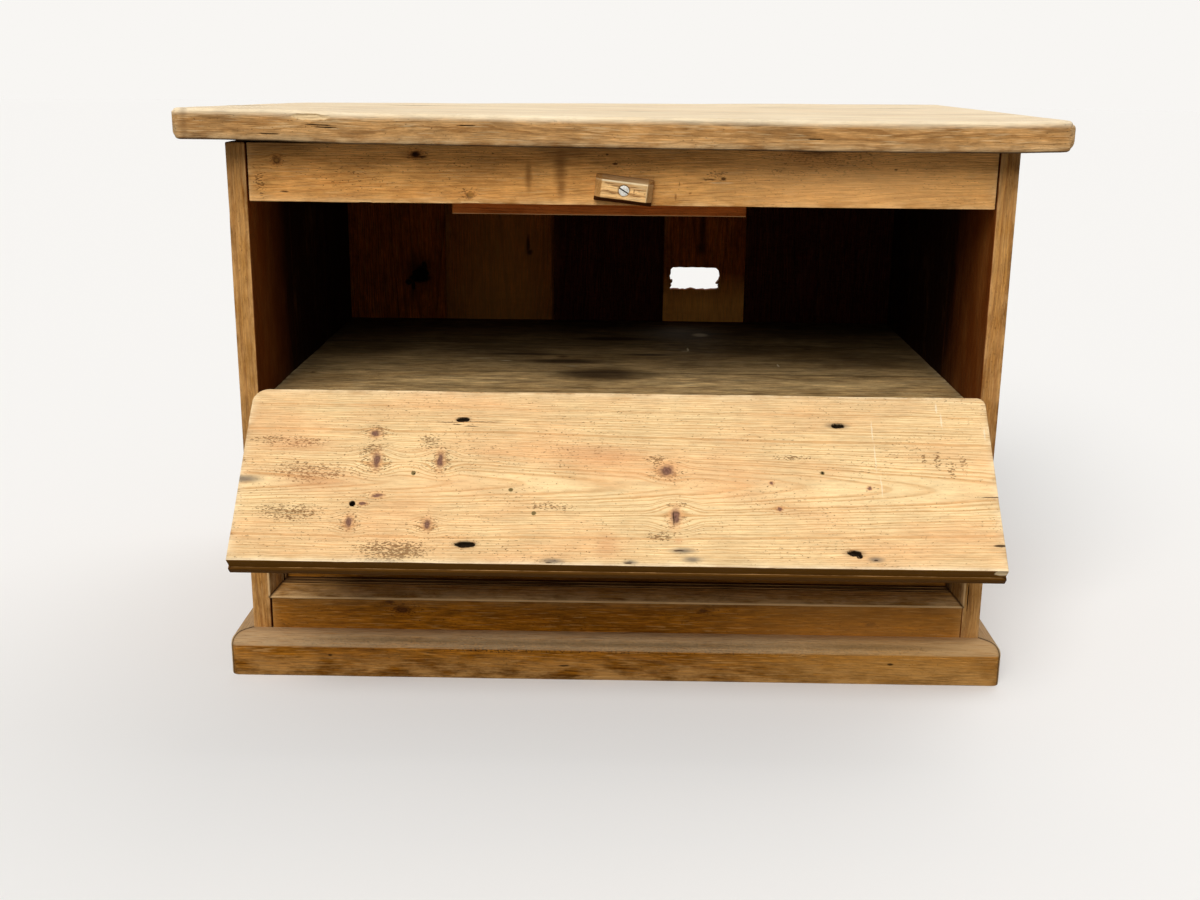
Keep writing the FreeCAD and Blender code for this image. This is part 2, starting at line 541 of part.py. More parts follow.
os.makedirs("parts", exist_ok=True)
for node, solid in sorted(pieces.items()):
    placed = solid.copy()
    placed.translate(Vector(0, -MIDDLE_Y, 0))
    placed.exportStep(f"parts/{node}.step")
    if not placed.isValid():
        print("not valid:", node)
    if len(placed.Solids) != 1:
        print(node, "has", len(placed.Solids), "solids")
print(len(pieces), "pieces; middle of the box is", MIDDLE_Y, "mm behind the front plane")
print("hinge pins at y", HINGE_AXIS_Y - MIDDLE_Y, "z", HINGE_AXIS_Z)
print("button screw at x", BUTTON_X, "y", -MIDDLE_Y, "z", BUTTON_Z)
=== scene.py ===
import json
import math

import bmesh
import bpy
from mathutils import Matrix, Vector, noise

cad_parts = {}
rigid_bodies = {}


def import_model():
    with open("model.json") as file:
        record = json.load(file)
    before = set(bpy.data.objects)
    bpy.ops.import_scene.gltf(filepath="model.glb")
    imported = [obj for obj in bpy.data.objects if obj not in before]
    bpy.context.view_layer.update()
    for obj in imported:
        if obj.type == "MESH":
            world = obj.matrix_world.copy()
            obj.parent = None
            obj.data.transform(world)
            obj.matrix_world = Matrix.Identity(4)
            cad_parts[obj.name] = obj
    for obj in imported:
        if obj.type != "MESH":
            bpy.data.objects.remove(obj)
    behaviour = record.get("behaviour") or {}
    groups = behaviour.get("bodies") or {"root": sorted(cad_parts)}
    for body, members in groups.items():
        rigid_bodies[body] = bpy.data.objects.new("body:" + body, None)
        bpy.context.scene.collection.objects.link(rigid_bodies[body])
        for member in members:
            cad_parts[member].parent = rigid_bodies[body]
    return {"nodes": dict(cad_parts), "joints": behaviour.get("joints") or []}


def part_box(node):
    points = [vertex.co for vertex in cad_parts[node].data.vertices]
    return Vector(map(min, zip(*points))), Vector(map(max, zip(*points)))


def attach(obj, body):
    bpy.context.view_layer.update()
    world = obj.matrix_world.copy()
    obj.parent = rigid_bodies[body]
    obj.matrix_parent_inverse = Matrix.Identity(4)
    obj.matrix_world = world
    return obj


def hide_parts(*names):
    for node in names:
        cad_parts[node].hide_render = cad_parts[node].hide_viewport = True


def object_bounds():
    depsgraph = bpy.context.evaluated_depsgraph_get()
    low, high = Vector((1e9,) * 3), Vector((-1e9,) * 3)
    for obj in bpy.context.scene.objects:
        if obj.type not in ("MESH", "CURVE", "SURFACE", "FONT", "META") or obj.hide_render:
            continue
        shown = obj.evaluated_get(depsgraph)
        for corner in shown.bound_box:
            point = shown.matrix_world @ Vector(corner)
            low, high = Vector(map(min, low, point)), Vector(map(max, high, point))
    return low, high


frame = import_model()
cad_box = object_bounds()


# SIDES
# Each side is three upright pine planks, 22 mm thick, planed by hand, glued edge to edge and waxed.
# Their arrises have worn round, and the back plank is rebated for the back boards.

X, Y, Z = 0, 1, 2
LOW, HIGH = 0, 1
# Lengths and shares below this count as none.
TINY = 1e-6


def linear(hex_colour):
    """An sRGB hex colour as the linear colour that a shader takes."""
    parts = [int(hex_colour[place:place + 2], 16) / 255 for place in (1, 3, 5)]
    return [part / 12.92 if part <= 0.04045 else ((part + 0.055) / 1.055) ** 2.4 for part in parts] + [1.0]


def feed(tree, node, inputs):
    """Links or sets the inputs of a node, which are given in order or by name."""
    for key, value in inputs.items() if isinstance(inputs, dict) else enumerate(inputs):
        if isinstance(value, bpy.types.NodeSocket):
            tree.links.new(value, node.inputs[key])
        else:
            node.inputs[key].default_value = value


def add(tree, kind, inputs=(), operation=None, out=0, stops=(), **settings):
    """Adds a node with its settings and inputs, and returns one of its outputs.

    stops: the (place, hex colour) stops of a colour ramp.
    """
    made = tree.nodes.new("ShaderNode" + kind)
    if operation:
        made.operation = operation
    for name, value in settings.items():
        setattr(made, name, value)
    for number, (place, colour) in enumerate(stops):
        band = made.color_ramp.elements
        if number == 0:
            band.remove(band[1])
        stop = band.new(place) if number else band[0]
        stop.position, stop.color = place, linear(colour)
    feed(tree, made, inputs)
    return made.outputs[out]


def new_material(name):
    """A new material, its node tree and its shader."""
    material = bpy.data.materials.new(name)
    material.use_nodes = True
    return material, material.node_tree, material.node_tree.nodes["Principled BSDF"]


def new_mesh(name, bm):
    """Turns a finished bmesh into a mesh, and frees it."""
    mesh = bpy.data.meshes.new(name)
    bm.to_mesh(mesh)
    bm.free()
    return mesh


def new_object(name, data):
    """Puts a mesh, a lamp or a camera into the scene."""
    made = bpy.data.objects.new(name, data)
    bpy.context.scene.collection.objects.link(made)
    return made


def butted_edges(number):
    """The edges at which one of three planks in a row along Y meets the planks beside it."""
    return {(Y, side) for side, end in ((LOW, 0), (HIGH, 2)) if number != end}


def mesh_lines(low, high, step, worn, wanted):
    """Places of the mesh lines across a board: close together at its arrises, a step apart between."""
    near = [share * worn for share in (0, 0.3, 0.7, 1.2, 2.0, 3.2)]
    near = [distance for distance in near if distance < (high - low) / 2 - 0.0004]
    first, last = low + near[-1], high - near[-1]
    count = max(1, round((last - first) / step))
    places = [low, high]
    wanted = wanted + [low + d for d in near] + [high - d for d in near]
    for place in wanted + [first + (last - first) * n / count for n in range(1, count)]:
        if low < place < high and min(abs(place - other) for other in places) > 0.0003:
            places.append(place)
    return sorted(places)


def crease(bm):
    """Keeps the edges that turn sharply crisp in a smooth-shaded mesh."""
    for face in bm.faces:
        face.smooth = True
    for edge in bm.edges:
        edge.smooth = edge.calc_face_angle(0) < math.radians(35)


def round_corner(place, ends, a, side_a, b, side_b, radius):
    """Draws a point of a board's square corner in towards the quarter round that is cut there."""
    sign_a, sign_b = 2 * side_a - 1, 2 * side_b - 1
    middle_a, middle_b = ends[side_a][a] - sign_a * radius, ends[side_b][b] - sign_b * radius
    over_a, over_b = sign_a * (place[a] - middle_a), sign_b * (place[b] - middle_b)
    if over_a > 0 and over_b > 0:
        share = max(over_a, over_b) / math.hypot(over_a, over_b)
        place[a] = middle_a + sign_a * over_a * share
        place[b] = middle_b + sign_b * over_b * share


def round_corners(bm, ends, corners):
    """Rounds square corners of a mesh, given as (axis, side, axis, side, radius)."""
    for vertex in bm.verts:
        for corner in corners:
            round_corner(vertex.co, ends, *corner)


def scar_reach(place, axis, centre, half):
    """How far a point is from the middle of a hollow, counted in the hollow's half sizes."""
    return math.hypot(*[(place[other] - centre[other]) / half[other] for other in (X, Y, Z) if other != axis])


def worn_board(
        low, high, steps, worn, seed, tight=(), corners=(), rebates=(), scars=(), chips=1.2, under=1.0):
    """A hand-planed board as a mesh: wavy faces, arrises worn unevenly round, chips and scars.

    tight: (axis, side) of the edges that are butted against the next board and so stay square.
    corners: (axis, side, axis, side, radius) of corners that are cut round through the thickness.
    rebates: (axis, side, width, axis, side, depth) of arrises that are rebated over the whole length.
    scars: (axis, side, centre, half sizes, depth) of hollows in a face.
    under: how much of the other arrises' wear the arrises along the bottom have.
    """
    ends, middle_z = (low, high), (low.z + high.z) / 2
    wanted = ([], [], [])
    for axis, side, centre, half, depth in scars:
        for other in {X, Y, Z} - {axis}:
            for share in (-1.3, -1.1, -0.95, -0.8, -0.6, -0.3, 0, 0.3, 0.6, 0.8, 0.95, 1.1, 1.3):
                wanted[other].append(centre[other] + share * half[other])
    for a, side_a, width, b, side_b, depth in rebates:
        wanted[a].append(ends[side_a][a] + (width if side_a == LOW else -width))
        wanted[b].append(ends[side_b][b] + (depth if side_b == LOW else -depth))
    bm = bmesh.new()
    bmesh.ops.create_cube(bm, size=1)
    lines = [mesh_lines(low[axis], high[axis], steps[axis], worn, wanted[axis]) for axis in (X, Y, Z)]
    for axis in (X, Y, Z):
        along = [edge for edge in bm.edges if abs(edge.verts[0].co[axis] - edge.verts[1].co[axis]) > 0.5]
        bmesh.ops.subdivide_edges(bm, edges=along, cuts=len(lines[axis]) - 2, use_grid_fill=True)
    loose_low = Vector([low[axis] - (1 if (axis, LOW) in tight else 0) for axis in (X, Y, Z)])
    loose_high = Vector([high[axis] + (1 if (axis, HIGH) in tight else 0) for axis in (X, Y, Z)])
    shift = Vector((seed * 7.1, seed * 3.7, seed * 5.3))
    for vertex in bm.verts:
        line_numbers = [round((vertex.co[axis] + 0.5) * (len(lines[axis]) - 1)) for axis in (X, Y, Z)]
        place = Vector([lines[axis][line_numbers[axis]] for axis in (X, Y, Z)])
        knocks = noise.noise(place * 38 + shift) - 0.34 + 0.5 * noise.noise(place * 140 + shift)
        radius = worn * (0.75 + 0.45 * noise.noise(place * 13 + shift) + chips * max(0, knocks))
        radius *= under if place.z < middle_z else 1.0
        core = [
            min(max(place[axis], loose_low[axis] + radius), loose_high[axis] - radius)
            for axis in (X, Y, Z)]
        outward = place - Vector(core)
        for axis, side in tight:
            if abs(place[axis] - ends[side][axis]) < TINY:
                gap = 0.00012 + 0.0004 * (0.5 + noise.noise(place * 21 + shift))
                place[axis] += gap if side == LOW else -gap
        moved = place.copy()
        if outward.length > 0:
            rounded = Vector(core) + outward.normalized() * radius
            for axis in (X, Y, Z):
                if abs(outward[axis]) > 0:
                    moved[axis] = rounded[axis]
            moved -= outward.normalized() * 0.0003 * max(0, 0.5 + noise.noise(place * 12 + shift))
        for axis, side, centre, half, depth in scars:
            if abs(place[axis] - ends[side][axis]) < TINY:
                reach = scar_reach(place, axis, centre, half) * (1 + 0.3 * noise.noise(place * 190 + shift))
                sunk = depth * min(1, max(0, (1.15 - reach) / 0.45))
                moved[axis] += sunk if side == LOW else -sunk
        for corner in corners:
            round_corner(moved, ends, *corner)
        for a, side_a, width, b, side_b, depth in rebates:
            sign_a, sign_b = (2 * side - 1 for side in (side_a, side_b))
            line_a, line_b = ends[side_a][a] - sign_a * width, ends[side_b][b] - sign_b * depth
            over_a, over_b = sign_a * (place[a] - line_a) / width, sign_b * (place[b] - line_b) / depth
            if over_a > TINY and over_b > TINY:
                moved[a] = line_a + sign_a * width * max(0, over_a - over_b)
                moved[b] = line_b + sign_b * depth * max(0, over_b - over_a)
        vertex.co = moved
    if rebates:
        bmesh.ops.remove_doubles(bm, verts=bm.verts, dist=0.00001)
        bmesh.ops.dissolve_degenerate(bm, edges=bm.edges, dist=0.00001)
    return bm


# How far wear reaches from an arris and dirt from a joint, and how deep a scar still shows fresh wood.
RUBBED_REACH, DIRT_REACH, SHALLOW = 0.004, 0.0014, 0.002


def mark_grain(mesh, low, high, way, heart, tight=(), scars=(), middle=None, outward=1):
    """Gives each point its place in the board, the board's place in its log, and its wear.

    way: the axes along, across and through the board. heart: how far the middle of the tree lies
    across and behind the board's middle, after a length that makes each board's figure its own.
    outward: -1 to count the way through the board from its other face. Wear is how near the point is
    to an arris, how deep in a scar (below 0 in a shallow one, which shows fresh wood) and to a joint.
    """
    middle, ends = middle or (low + high) / 2, (low, high)
    grain = mesh.attributes.new("grain", "FLOAT_VECTOR", "POINT")
    log = mesh.attributes.new("log", "FLOAT_VECTOR", "POINT")
    wear = mesh.attributes.new("wear", "FLOAT_VECTOR", "POINT")
    mitre = mesh.attributes.get("mitre")
    for number, vertex in enumerate(mesh.vertices):
        place = vertex.co
        in_board = Vector([place[axis] - middle[axis] for axis in way])
        in_board.z *= outward
        grain.data[number].vector = in_board
        log.data[number].vector = heart
        from_side = {
            (axis, side): abs(place[axis] - ends[side][axis]) for axis in (X, Y, Z)
            for side in (LOW, HIGH)}
        open_sides = sorted(from_side[key] for key in from_side if key not in tight)
        butted = min([from_side[key] for key in tight] + [1.0])
        if mitre:
            butted = min(butted, mitre.data[number].value)
        sunk = 0.0
        for axis, side, centre, half, depth in scars:
            below = from_side[axis, side]
            if scar_reach(place, axis, centre, half) < 1.2 and below < depth + 0.001:
                sunk = min(1, below / min(depth, SHALLOW)) * (1 if depth > SHALLOW else -1)
        wear.data[number].vector = (
            math.exp(-open_sides[1] / RUBBED_REACH), sunk, math.exp(-butted / DIRT_REACH))


def stand_for(piece, body, node):
    """Lets a piece stand for its CAD node and ride on that node's body."""
    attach(piece, body)
    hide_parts(node)


def add_piece(node, bm, material, body="carcass", name="old"):
    """Makes a finished bmesh the piece that stands for a CAD node."""
    crease(bm)
    piece = new_object(f"{name}_{node}", new_mesh(f"{name}_{node}", bm))
    piece.data.materials.append(material)
    stand_for(piece, body, node)
    return piece


def nearest(tree, place, spots):
    """How far a point is from the nearest of some spots, counted in that spot's half sizes.

    spots: (along, across, half length, half width) in millimetres from the board's middle.
    """
    least = 9.0
    for along, across, half_length, half_width in spots:
        scale = (1000 / half_length, 1000 / half_width, 0)
        start = (-along / half_length, -across / half_width, 0)
        offset = add(tree, "VectorMath", (place, scale, start), "MULTIPLY_ADD")
        reach = add(tree, "VectorMath", (offset,), "LENGTH", out=1)
        least = add(tree, "Math", (reach, least), "MINIMUM")
    return least


def pine(
        name, early, late, flush, dirt, rubbed, knot, ring=3.0, figure=8.0, lines=0.8, specks=0.5,
        flushed=0.5, mottle=0.2, fibres=0.2, knots=(), loose_knots=0.0, speckled=(), marks=(), faces=(),
        grime=0.5, polish=0.6, mirror=0.03, uneven=0.55, saw_marks=0.0):
    """Old pine: pale early wood and darker late wood in yearly rings cut through by the board.

    ring: millimetres from year to year. figure: millimetres by which the rings wander.
    knots: (along, across, half length, half width) in millimetres from the board's middle.
    speckled: spots, given as knots are, where the surface is torn into many dark specks.
    marks: (hex colour, strength, softness, spots) of stains, holes, scratches and painted light and shade,
    laid on in order.
    faces: (axis of the board, from, to, hex colour, strength) of sides of another tone, some of them painted
    shade or painted highlight, in millimetres.
    An (axis, from, to) after them lets the tone come in along another axis as well.
    uneven: by how much one year's line may be weaker than the next.
    mirror: how much of the room it mirrors, which is little for old matt wood.
    """
    material, tree, shader = new_material(name)
    grain = add(tree, "Attribute", out=1, attribute_name="grain")
    log = add(tree, "Attribute", out=1, attribute_name="log")
    wear = add(tree, "Attribute", out=1, attribute_name="wear")
    arris = add(tree, "SeparateXYZ", (wear,))
    sunk, butted = arris.node.outputs[1], arris.node.outputs[2]
    own = add(tree, "VectorMath", (log, (9.0, 4.0, 4.0), grain), "MULTIPLY_ADD")

    def cloud(turns, detail=2.0, low=0.0, high=1.0, rough=0.5, span=(0.25, 0.75)):
        """A noise of the board's own, with so many turns per metre along, across and through it."""
        place = add(tree, "VectorMath", (own, turns), "MULTIPLY")
        value = add(tree, "TexNoise", {"Vector": place, "Scale": 1.0, "Detail": detail, "Roughness": rough})
        return add(tree, "MapRange", (value, *span, low, high))

    # The rings: distance from the heart of the tree, which wanders and bends round knots.
    board = add(tree, "SeparateXYZ", (grain,))
    across, through = board.node.outputs[1], board.node.outputs[2]
    bent = across
    for turns, reach in (((2.2, 11, 11), figure), ((13, 70, 70), 0.45 * ring), ((70, 330, 330), 0.13 * ring)):
        sway = cloud(turns, 3.0, -reach / 1000, reach / 1000)
        bent = add(tree, "Math", (bent, sway), "ADD")
    jitter = add(tree, "VectorMath", (own, (210, 210, 210)), "MULTIPLY")
    jitter = add(tree, "TexNoise", {"Vector": jitter, "Scale": 1.0, "Detail": 3.0}, out=1)
    jitter = add(tree, "VectorMath", (jitter, (0.5, 0.5, 0.5)), "SUBTRACT")
    ragged = add(tree, "VectorMath", (jitter, (0.006, 0.005, 0), grain), "MULTIPLY_ADD")
    pulls = []
    for along, side, half_length, half_width in knots:
        reach = nearest(tree, ragged, [(along, side, half_length, half_width)])
        swerve = nearest(tree, grain, [(along, side, half_length + 0.7 * half_width, half_width)])
        away = add(tree, "Math", (across, side / 1000), "SUBTRACT")
        pulls.append((reach, away, (swerve, 0.4, 3.2, 0.86, 0.0)))
    if loose_knots:
        spacing = (0.34, 0.12, 0)
        cell = add(tree, "VectorMath", (own, (1 / 0.34, 1 / 0.12, 0)), "MULTIPLY")
        seat = add(tree, "TexVoronoi", {"Vector": cell, "Scale": 1.0}, out=2, voronoi_dimensions="2D")
        away = add(tree, "VectorMath", (cell, seat), "SUBTRACT")
        away = add(tree, "VectorMath", (away, spacing), "MULTIPLY")
        rough_away = add(tree, "VectorMath", (jitter, (0.006, 0.005, 0), away), "MULTIPLY_ADD")
        length = add(tree, "VectorMath", (rough_away,), "LENGTH", out=1)
        draw = add(tree, "SeparateColor", (seat.node.outputs[1],))
        size = add(tree, "MapRange", (draw, 1 - loose_knots, 1.0, 0.0003, 0.009))
        reach = add(tree, "Math", (length, size), "DIVIDE")
        pulls.append((reach, add(tree, "SeparateXYZ", (away,), out=1), (reach, 0.6, 4.4, 0.9, 0.0)))
    knot_reach = 9.0
    for reach, away, hold in pulls:
        hold = add(tree, "MapRange", hold, interpolation_type="SMOOTHSTEP")
        pull = add(tree, "Math", (away, hold), "MULTIPLY")
        bent = add(tree, "Math", (bent, pull), "SUBTRACT")
        knot_reach = add(tree, "Math", (reach, knot_reach), "MINIMUM")
    heart = add(tree, "SeparateXYZ", (log,))
    from_heart = add(tree, "Math", (bent, heart.node.outputs[1]), "SUBTRACT")
    behind = add(tree, "Math", (through, heart.node.outputs[2]), "SUBTRACT")
    leaning = add(tree, "Math", (board, 0.03, behind), "MULTIPLY_ADD")
    section = add(tree, "CombineXYZ", (from_heart, leaning, 0.0))
    radius = add(tree, "VectorMath", (section,), "LENGTH", out=1)
    season = add(tree, "Math", (radius, 210.0), "MULTIPLY")
    season = add(tree, "TexNoise", {"W": season, "Scale": 1.0, "Detail": 2.0}, noise_dimensions="1D")
    season = add(tree, "Math", (season, 0.004, radius), "MULTIPLY_ADD")
    years = add(tree, "Math", (season, 1000 / ring), "MULTIPLY")
    year = add(tree, "Math", (years,), "FRACT")
    late_wood = add(tree, "ValToRGB", (year,), stops=(
        (0.0, "#808080"), (0.09, "#101010"), (0.5, "#383838"), (0.82, "#ffffff"), (0.94, "#f4f4f4"),
        (1.0, "#808080")))
    which = add(tree, "Math", (years,), "FLOOR")
    which = add(tree, "TexWhiteNoise", {"W": which}, noise_dimensions="1D")
    strong = add(tree, "Math", (which, cloud((4, 45, 45), 3.0, 0.35, 1.15)), "MULTIPLY")
    strong = add(tree, "MapRange", (strong, 0.0, 0.8, 1 - uneven, 1.0))
    # Where the rings lie flat in the face, over the heart, they show only faintly.
    flat = add(tree, "Math", (from_heart, radius), "DIVIDE")
    flat = add(tree, "Math", (flat,), "ABSOLUTE")
    flat = add(tree, "MapRange", (flat, 0.0, 0.4, 0.45, 1.0))
    strong = add(tree, "Math", (strong, flat), "MULTIPLY")
    ring_mask = add(tree, "Math", (late_wood, strong), "MULTIPLY")
    ring_share = add(tree, "Math", (ring_mask, lines), "MULTIPLY")
    # The layers of colour, laid on one after another: (share, colour, way of mixing).
    layers = [(ring_share, late, "MIX")]

    # Broad flushes of warmer wood, blotches of handling, and fibres drawn a millimetre and more wide,
    # which is as fine as they can show.
    fibre = cloud((40, 900, 900), 3.0)
    layers += [
        (cloud((5, 19, 19), 4.0, 0.0, flushed, 0.6, (0.42, 0.72)), flush, "MIX"),
        (1.0, cloud((16, 42, 42), 6.0, 1 - mottle, 1 + 0.5 * mottle, 0.72, (0.36, 0.64)), "MULTIPLY"),
        (1.0, cloud((9, 290, 290), 3.0, 1 - 0.6 * fibres, 1 + 0.4 * fibres, 0.6), "MULTIPLY"),
        (1.0, cloud((50, 450, 450), 3.0, 1 - fibres, 1 + 0.6 * fibres, 0.7, (0.3, 0.7)), "MULTIPLY"),
        (cloud((26, 700, 700), 2.0, 0.0, 1.3 * fibres, 0.6, (0.56, 0.62)), late, "MIX"),
        (cloud((30, 560, 560), 2.0, 0.0, 0.9 * fibres, 0.6, (0.58, 0.65)), rubbed, "MIX")]

    # Dirt in the open pores and in torn grain: short dark specks, in drifts and round knots.
    speck = cloud((330, 820, 820), 2.0)
    drift = cloud((11, 26, 26), 3.0, 0.99, 0.74)
    torn = add(tree, "MapRange", (knot_reach, 1.0, 3.2, 0.24, 0.0))
    if speckled:
        patch = add(tree, "MapRange", (nearest(tree, ragged, speckled), 0.5, 1.2, 0.33, 0.0))
        torn = add(tree, "Math", (torn, patch), "MAXIMUM")
    drift = add(tree, "Math", (drift, torn), "SUBTRACT")
    over = add(tree, "Math", (speck, drift), "SUBTRACT")
    over = add(tree, "MapRange", (over, 0.0, 0.08, 0.0, specks))
    layers.append((over, dirt, "MIX"))

    # Knots: a brown heart with a darker rim, fading through a warm halo into the grain.
    halo = add(tree, "MapRange", (knot_reach, 0.8, 2.4, 0.55, 0.0), interpolation_type="SMOOTHSTEP")
    inside = add(tree, "MapRange", (knot_reach, 0.35, 1.5, 0.95, 0.0), interpolation_type="SMOOTHSTEP")
    core = add(tree, "Math", (knot_reach, 0.7), "MULTIPLY")
    core = add(tree, "ValToRGB", (core,), stops=(
        (0.0, knot[0]), (0.22, knot[1]), (0.45, knot[0]), (0.62, knot[1]), (0.75, knot[2])))
    core = add(tree, "VectorMath", (core, cloud((500, 500, 500), 2.0, 0.72, 1.2)), "MULTIPLY")
    layers += [(halo, flush, "MIX"), (inside, core, "MIX")]

    # Wear: arrises rubbed pale in places and grimy in others.
    rub = cloud((24, 64, 64), 4.0, 0.0, 1.0, 0.65, (0.0, 1.0))
    rubbing = add(tree, "MapRange", (rub, 0.35, 0.55, 0.0, 0.85))
    filth = add(tree, "MapRange", (rub, 0.62, 0.42, 0.0, grime))
    layers += [
        (add(tree, "Math", (rubbing, arris), "MULTIPLY"), rubbed, "MIX"),
        (add(tree, "Math", (filth, arris), "MULTIPLY"), dirt, "MIX")]

    # Sides of another tone, some of them painted shade or highlight, then the stains, holes, scratches and
    # painted light and shade of this board's own.
    patchy = cloud((9, 24, 24), 4.0, 0.72, 1.12)
    patchy = add(
        tree, "Math", (patchy, add(tree, "MapRange", (fibre, 0.0, 0.6, 1 - fibres, 1.0))), "MULTIPLY")
    for axis, start, end, face_colour, strength, *fade in faces:
        cover = add(tree, "MapRange", (board.node.outputs[axis], start / 1000, end / 1000, 0.0, strength))
        for other, gone, full in fade:
            share = add(tree, "MapRange", (board.node.outputs[other], gone / 1000, full / 1000, 0.0, 1.0))
            cover = add(tree, "Math", (cover, share), "MULTIPLY")
        cover = add(tree, "Math", (cover, patchy), "MULTIPLY", use_clamp=True)
        layers.append((cover, face_colour, "MIX"))
    spotted = add(tree, "VectorMath", (jitter, (0.0022, 0.0016, 0), grain), "MULTIPLY_ADD")
    for mark_colour, strength, softness, spots in marks:
        cover = add(
            tree, "MapRange",
            (nearest(tree, spotted, spots), 1 - softness, 1 + softness * 0.5, strength, 0.0),
            interpolation_type="SMOOTHSTEP")
        layers.append((cover, mark_colour, "MIX"))

    # Dirt in joints, deep hollows painted near black as dirt and painted shade, and fresh wood where a chip
    # has gone.
    deep = add(tree, "MapRange", (sunk, 0.15, 0.8, 0.0, 0.95))
    layers += [
        (add(tree, "Math", (butted, 0.85), "MULTIPLY"), dirt, "MIX"), (deep, "#150d07", "MIX"),
        (add(tree, "MapRange", (sunk, -0.1, -0.7, 0.0, 0.7)), rubbed, "MIX")]
    colour = linear(early)
    for share, laid, kind in layers:
        laid = linear(laid) if isinstance(laid, str) else laid
        colour = add(tree, "Mix", {0: share, 6: colour, 7: laid}, out=2, data_type="RGBA", blend_type=kind)

    # The late wood stands a little proud, the fibres and small dents catch the light.
    height = add(tree, "Math", (ring_mask, 0.5, fibre), "MULTIPLY_ADD")
    height = add(tree, "Math", (cloud((70, 110, 110), 3.0), 1.3, height), "MULTIPLY_ADD")
    height = add(tree, "Math", (over, -1.2, height), "MULTIPLY_ADD")
    if saw_marks:
        height = add(tree, "Math", (cloud((330, 12, 12), 1.0), saw_marks, height), "MULTIPLY_ADD")
    bump = add(tree, "Bump", {"Strength": 0.7, "Distance": 0.0007, "Height": height})
    gloss = add(tree, "MapRange", (rub, 0.3, 0.7, polish - 0.07, polish + 0.1))
    gloss = add(tree, "Math", (deep, 0.3, gloss), "MULTIPLY_ADD")
    feed(tree, shader, {
        "Base Color": colour, "Roughness": gloss, "Normal": bump, "Specular IOR Level": mirror})
    return material


# Waxed old pine: honey brown, the late wood darker, with a low satin gloss from the wax. The inner faces of
# the sides are painted dark brown as shade, and near black as painted shade towards the back.
side_look = dict(
    early="#c68e49", late="#8a5423", flush="#ae6f34", dirt="#40220c", rubbed="#dbab70",
    knot=("#4a2712", "#7a4722", "#331808"), loose_knots=0.3, fibres=0.3)
waxed_pine = pine(
    # The inner face is painted dark brown as shade, going near black towards the back.
    "waxed_old_pine", faces=((2, 9.9, 10.6, "#753a10", 1.1), (2, 9.9, 10.6, "#1c0a03", 1.2, (1, -70, 97))),
    **side_look)
# The middle and back planks: inner face painted near black all over, as shade.
inside_painted_shade_pine = pine("waxed_old_pine_inside_painted_shade", faces=((2, 9.9, 10.6, "#1c0a03", 1.3),), **side_look)
TOP_DROP = 0.0045
PLACES = ("front", "middle", "back")
REBATE_WIDTH, REBATE_DEPTH = 0.011, 0.014

for side in ("left", "right"):
    for number, place in enumerate(PLACES):
        node = f"side_{side}_{place}_plank"
        low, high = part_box(node)
        butted = butted_edges(number)
        inner = LOW if side == "right" else HIGH
        rebate = ((X, inner, REBATE_WIDTH, Y, HIGH, REBATE_DEPTH),) if place == "back" else ()
        split = ()
        if node == "side_right_front_plank":
            split = ((Y, LOW, Vector((0.4187, low.y, 0.102)), Vector((0.0006, 1, 0.017)), 0.004),)
        seed = number + (3 if side == "right" else 0)
        board = worn_board(
            low, high - Vector((0, 0, TOP_DROP)), (0.008, 0.012, 0.009), 0.0016, seed, butted, (), rebate,
            split)
        look = waxed_pine if place == "front" else inside_painted_shade_pine
        piece = add_piece(node, board, look)
        heart = (0.37 * seed + 0.1, (-0.05, 0.03, 0.06)[number], 0.045 if side == "left" else -0.05)
        mark_grain(
            piece.data, low, high, (Z, Y, X), heart, butted, split, outward=1 if side == "left" else -1)


# INSIDE
# The shelf and the floor are planks side by side on bearers, which are screwed to the sides. Cleats and
# a back rail under the top hold it down. All of it is bare pine, greyed and stained by use, and painted darker
# towards the back as shade.

# Bare old pine: the wax never reached it, so it has gone greyish brown and takes a dull dry light. It is
# painted darker towards the back as shade.
bare_pine = pine(
    "bare_old_pine", early="#d8b47a", late="#7c5a34", flush="#937041", dirt="#2b1f14", rubbed="#cfb78a",
    knot=("#3a281a", "#5f4630", "#21150d"), figure=10, loose_knots=0.2, flushed=0.8, mottle=0.5, fibres=0.5,
    grime=0.6, polish=0.6, specks=0.85,
    # Painted shade: darker across the board towards the back, near black at the back.
    faces=((1, -130, 50, "#4b351b", 0.78), (1, 50, 230, "#241608", 0.85)),
    marks=(
        # Broad dark patches of grime, with the one at the right painted shade.
        ("#2f2013", 0.5, 1.0, (
            (-175, 45, 100, 62), (330, 10, 90, 66), (-330, 60, 60, 60), (180, 60, 90, 40))),
        ("#2b1b0e", 0.9, 0.7, (
            (-22, -108, 74, 40), (-70, -30, 66, 18), (-8, 132, 56, 15), (-120, 16, 60, 8), (40, 20, 40, 7))),
        ("#8a8476", 0.3, 1.0, ((80, 178, 62, 52),)),
        ("#e0cda4", 0.7, 0.6, (
            (-186, -17, 14, 1.4), (-150, -30, 9, 1.4), (-60, -60, 8, 1.4), (96, 60, 1.4, 12),
            (92, 48, 7, 1.4), (210, -40, 1.4, 9), (119, 170, 12, 14)))))


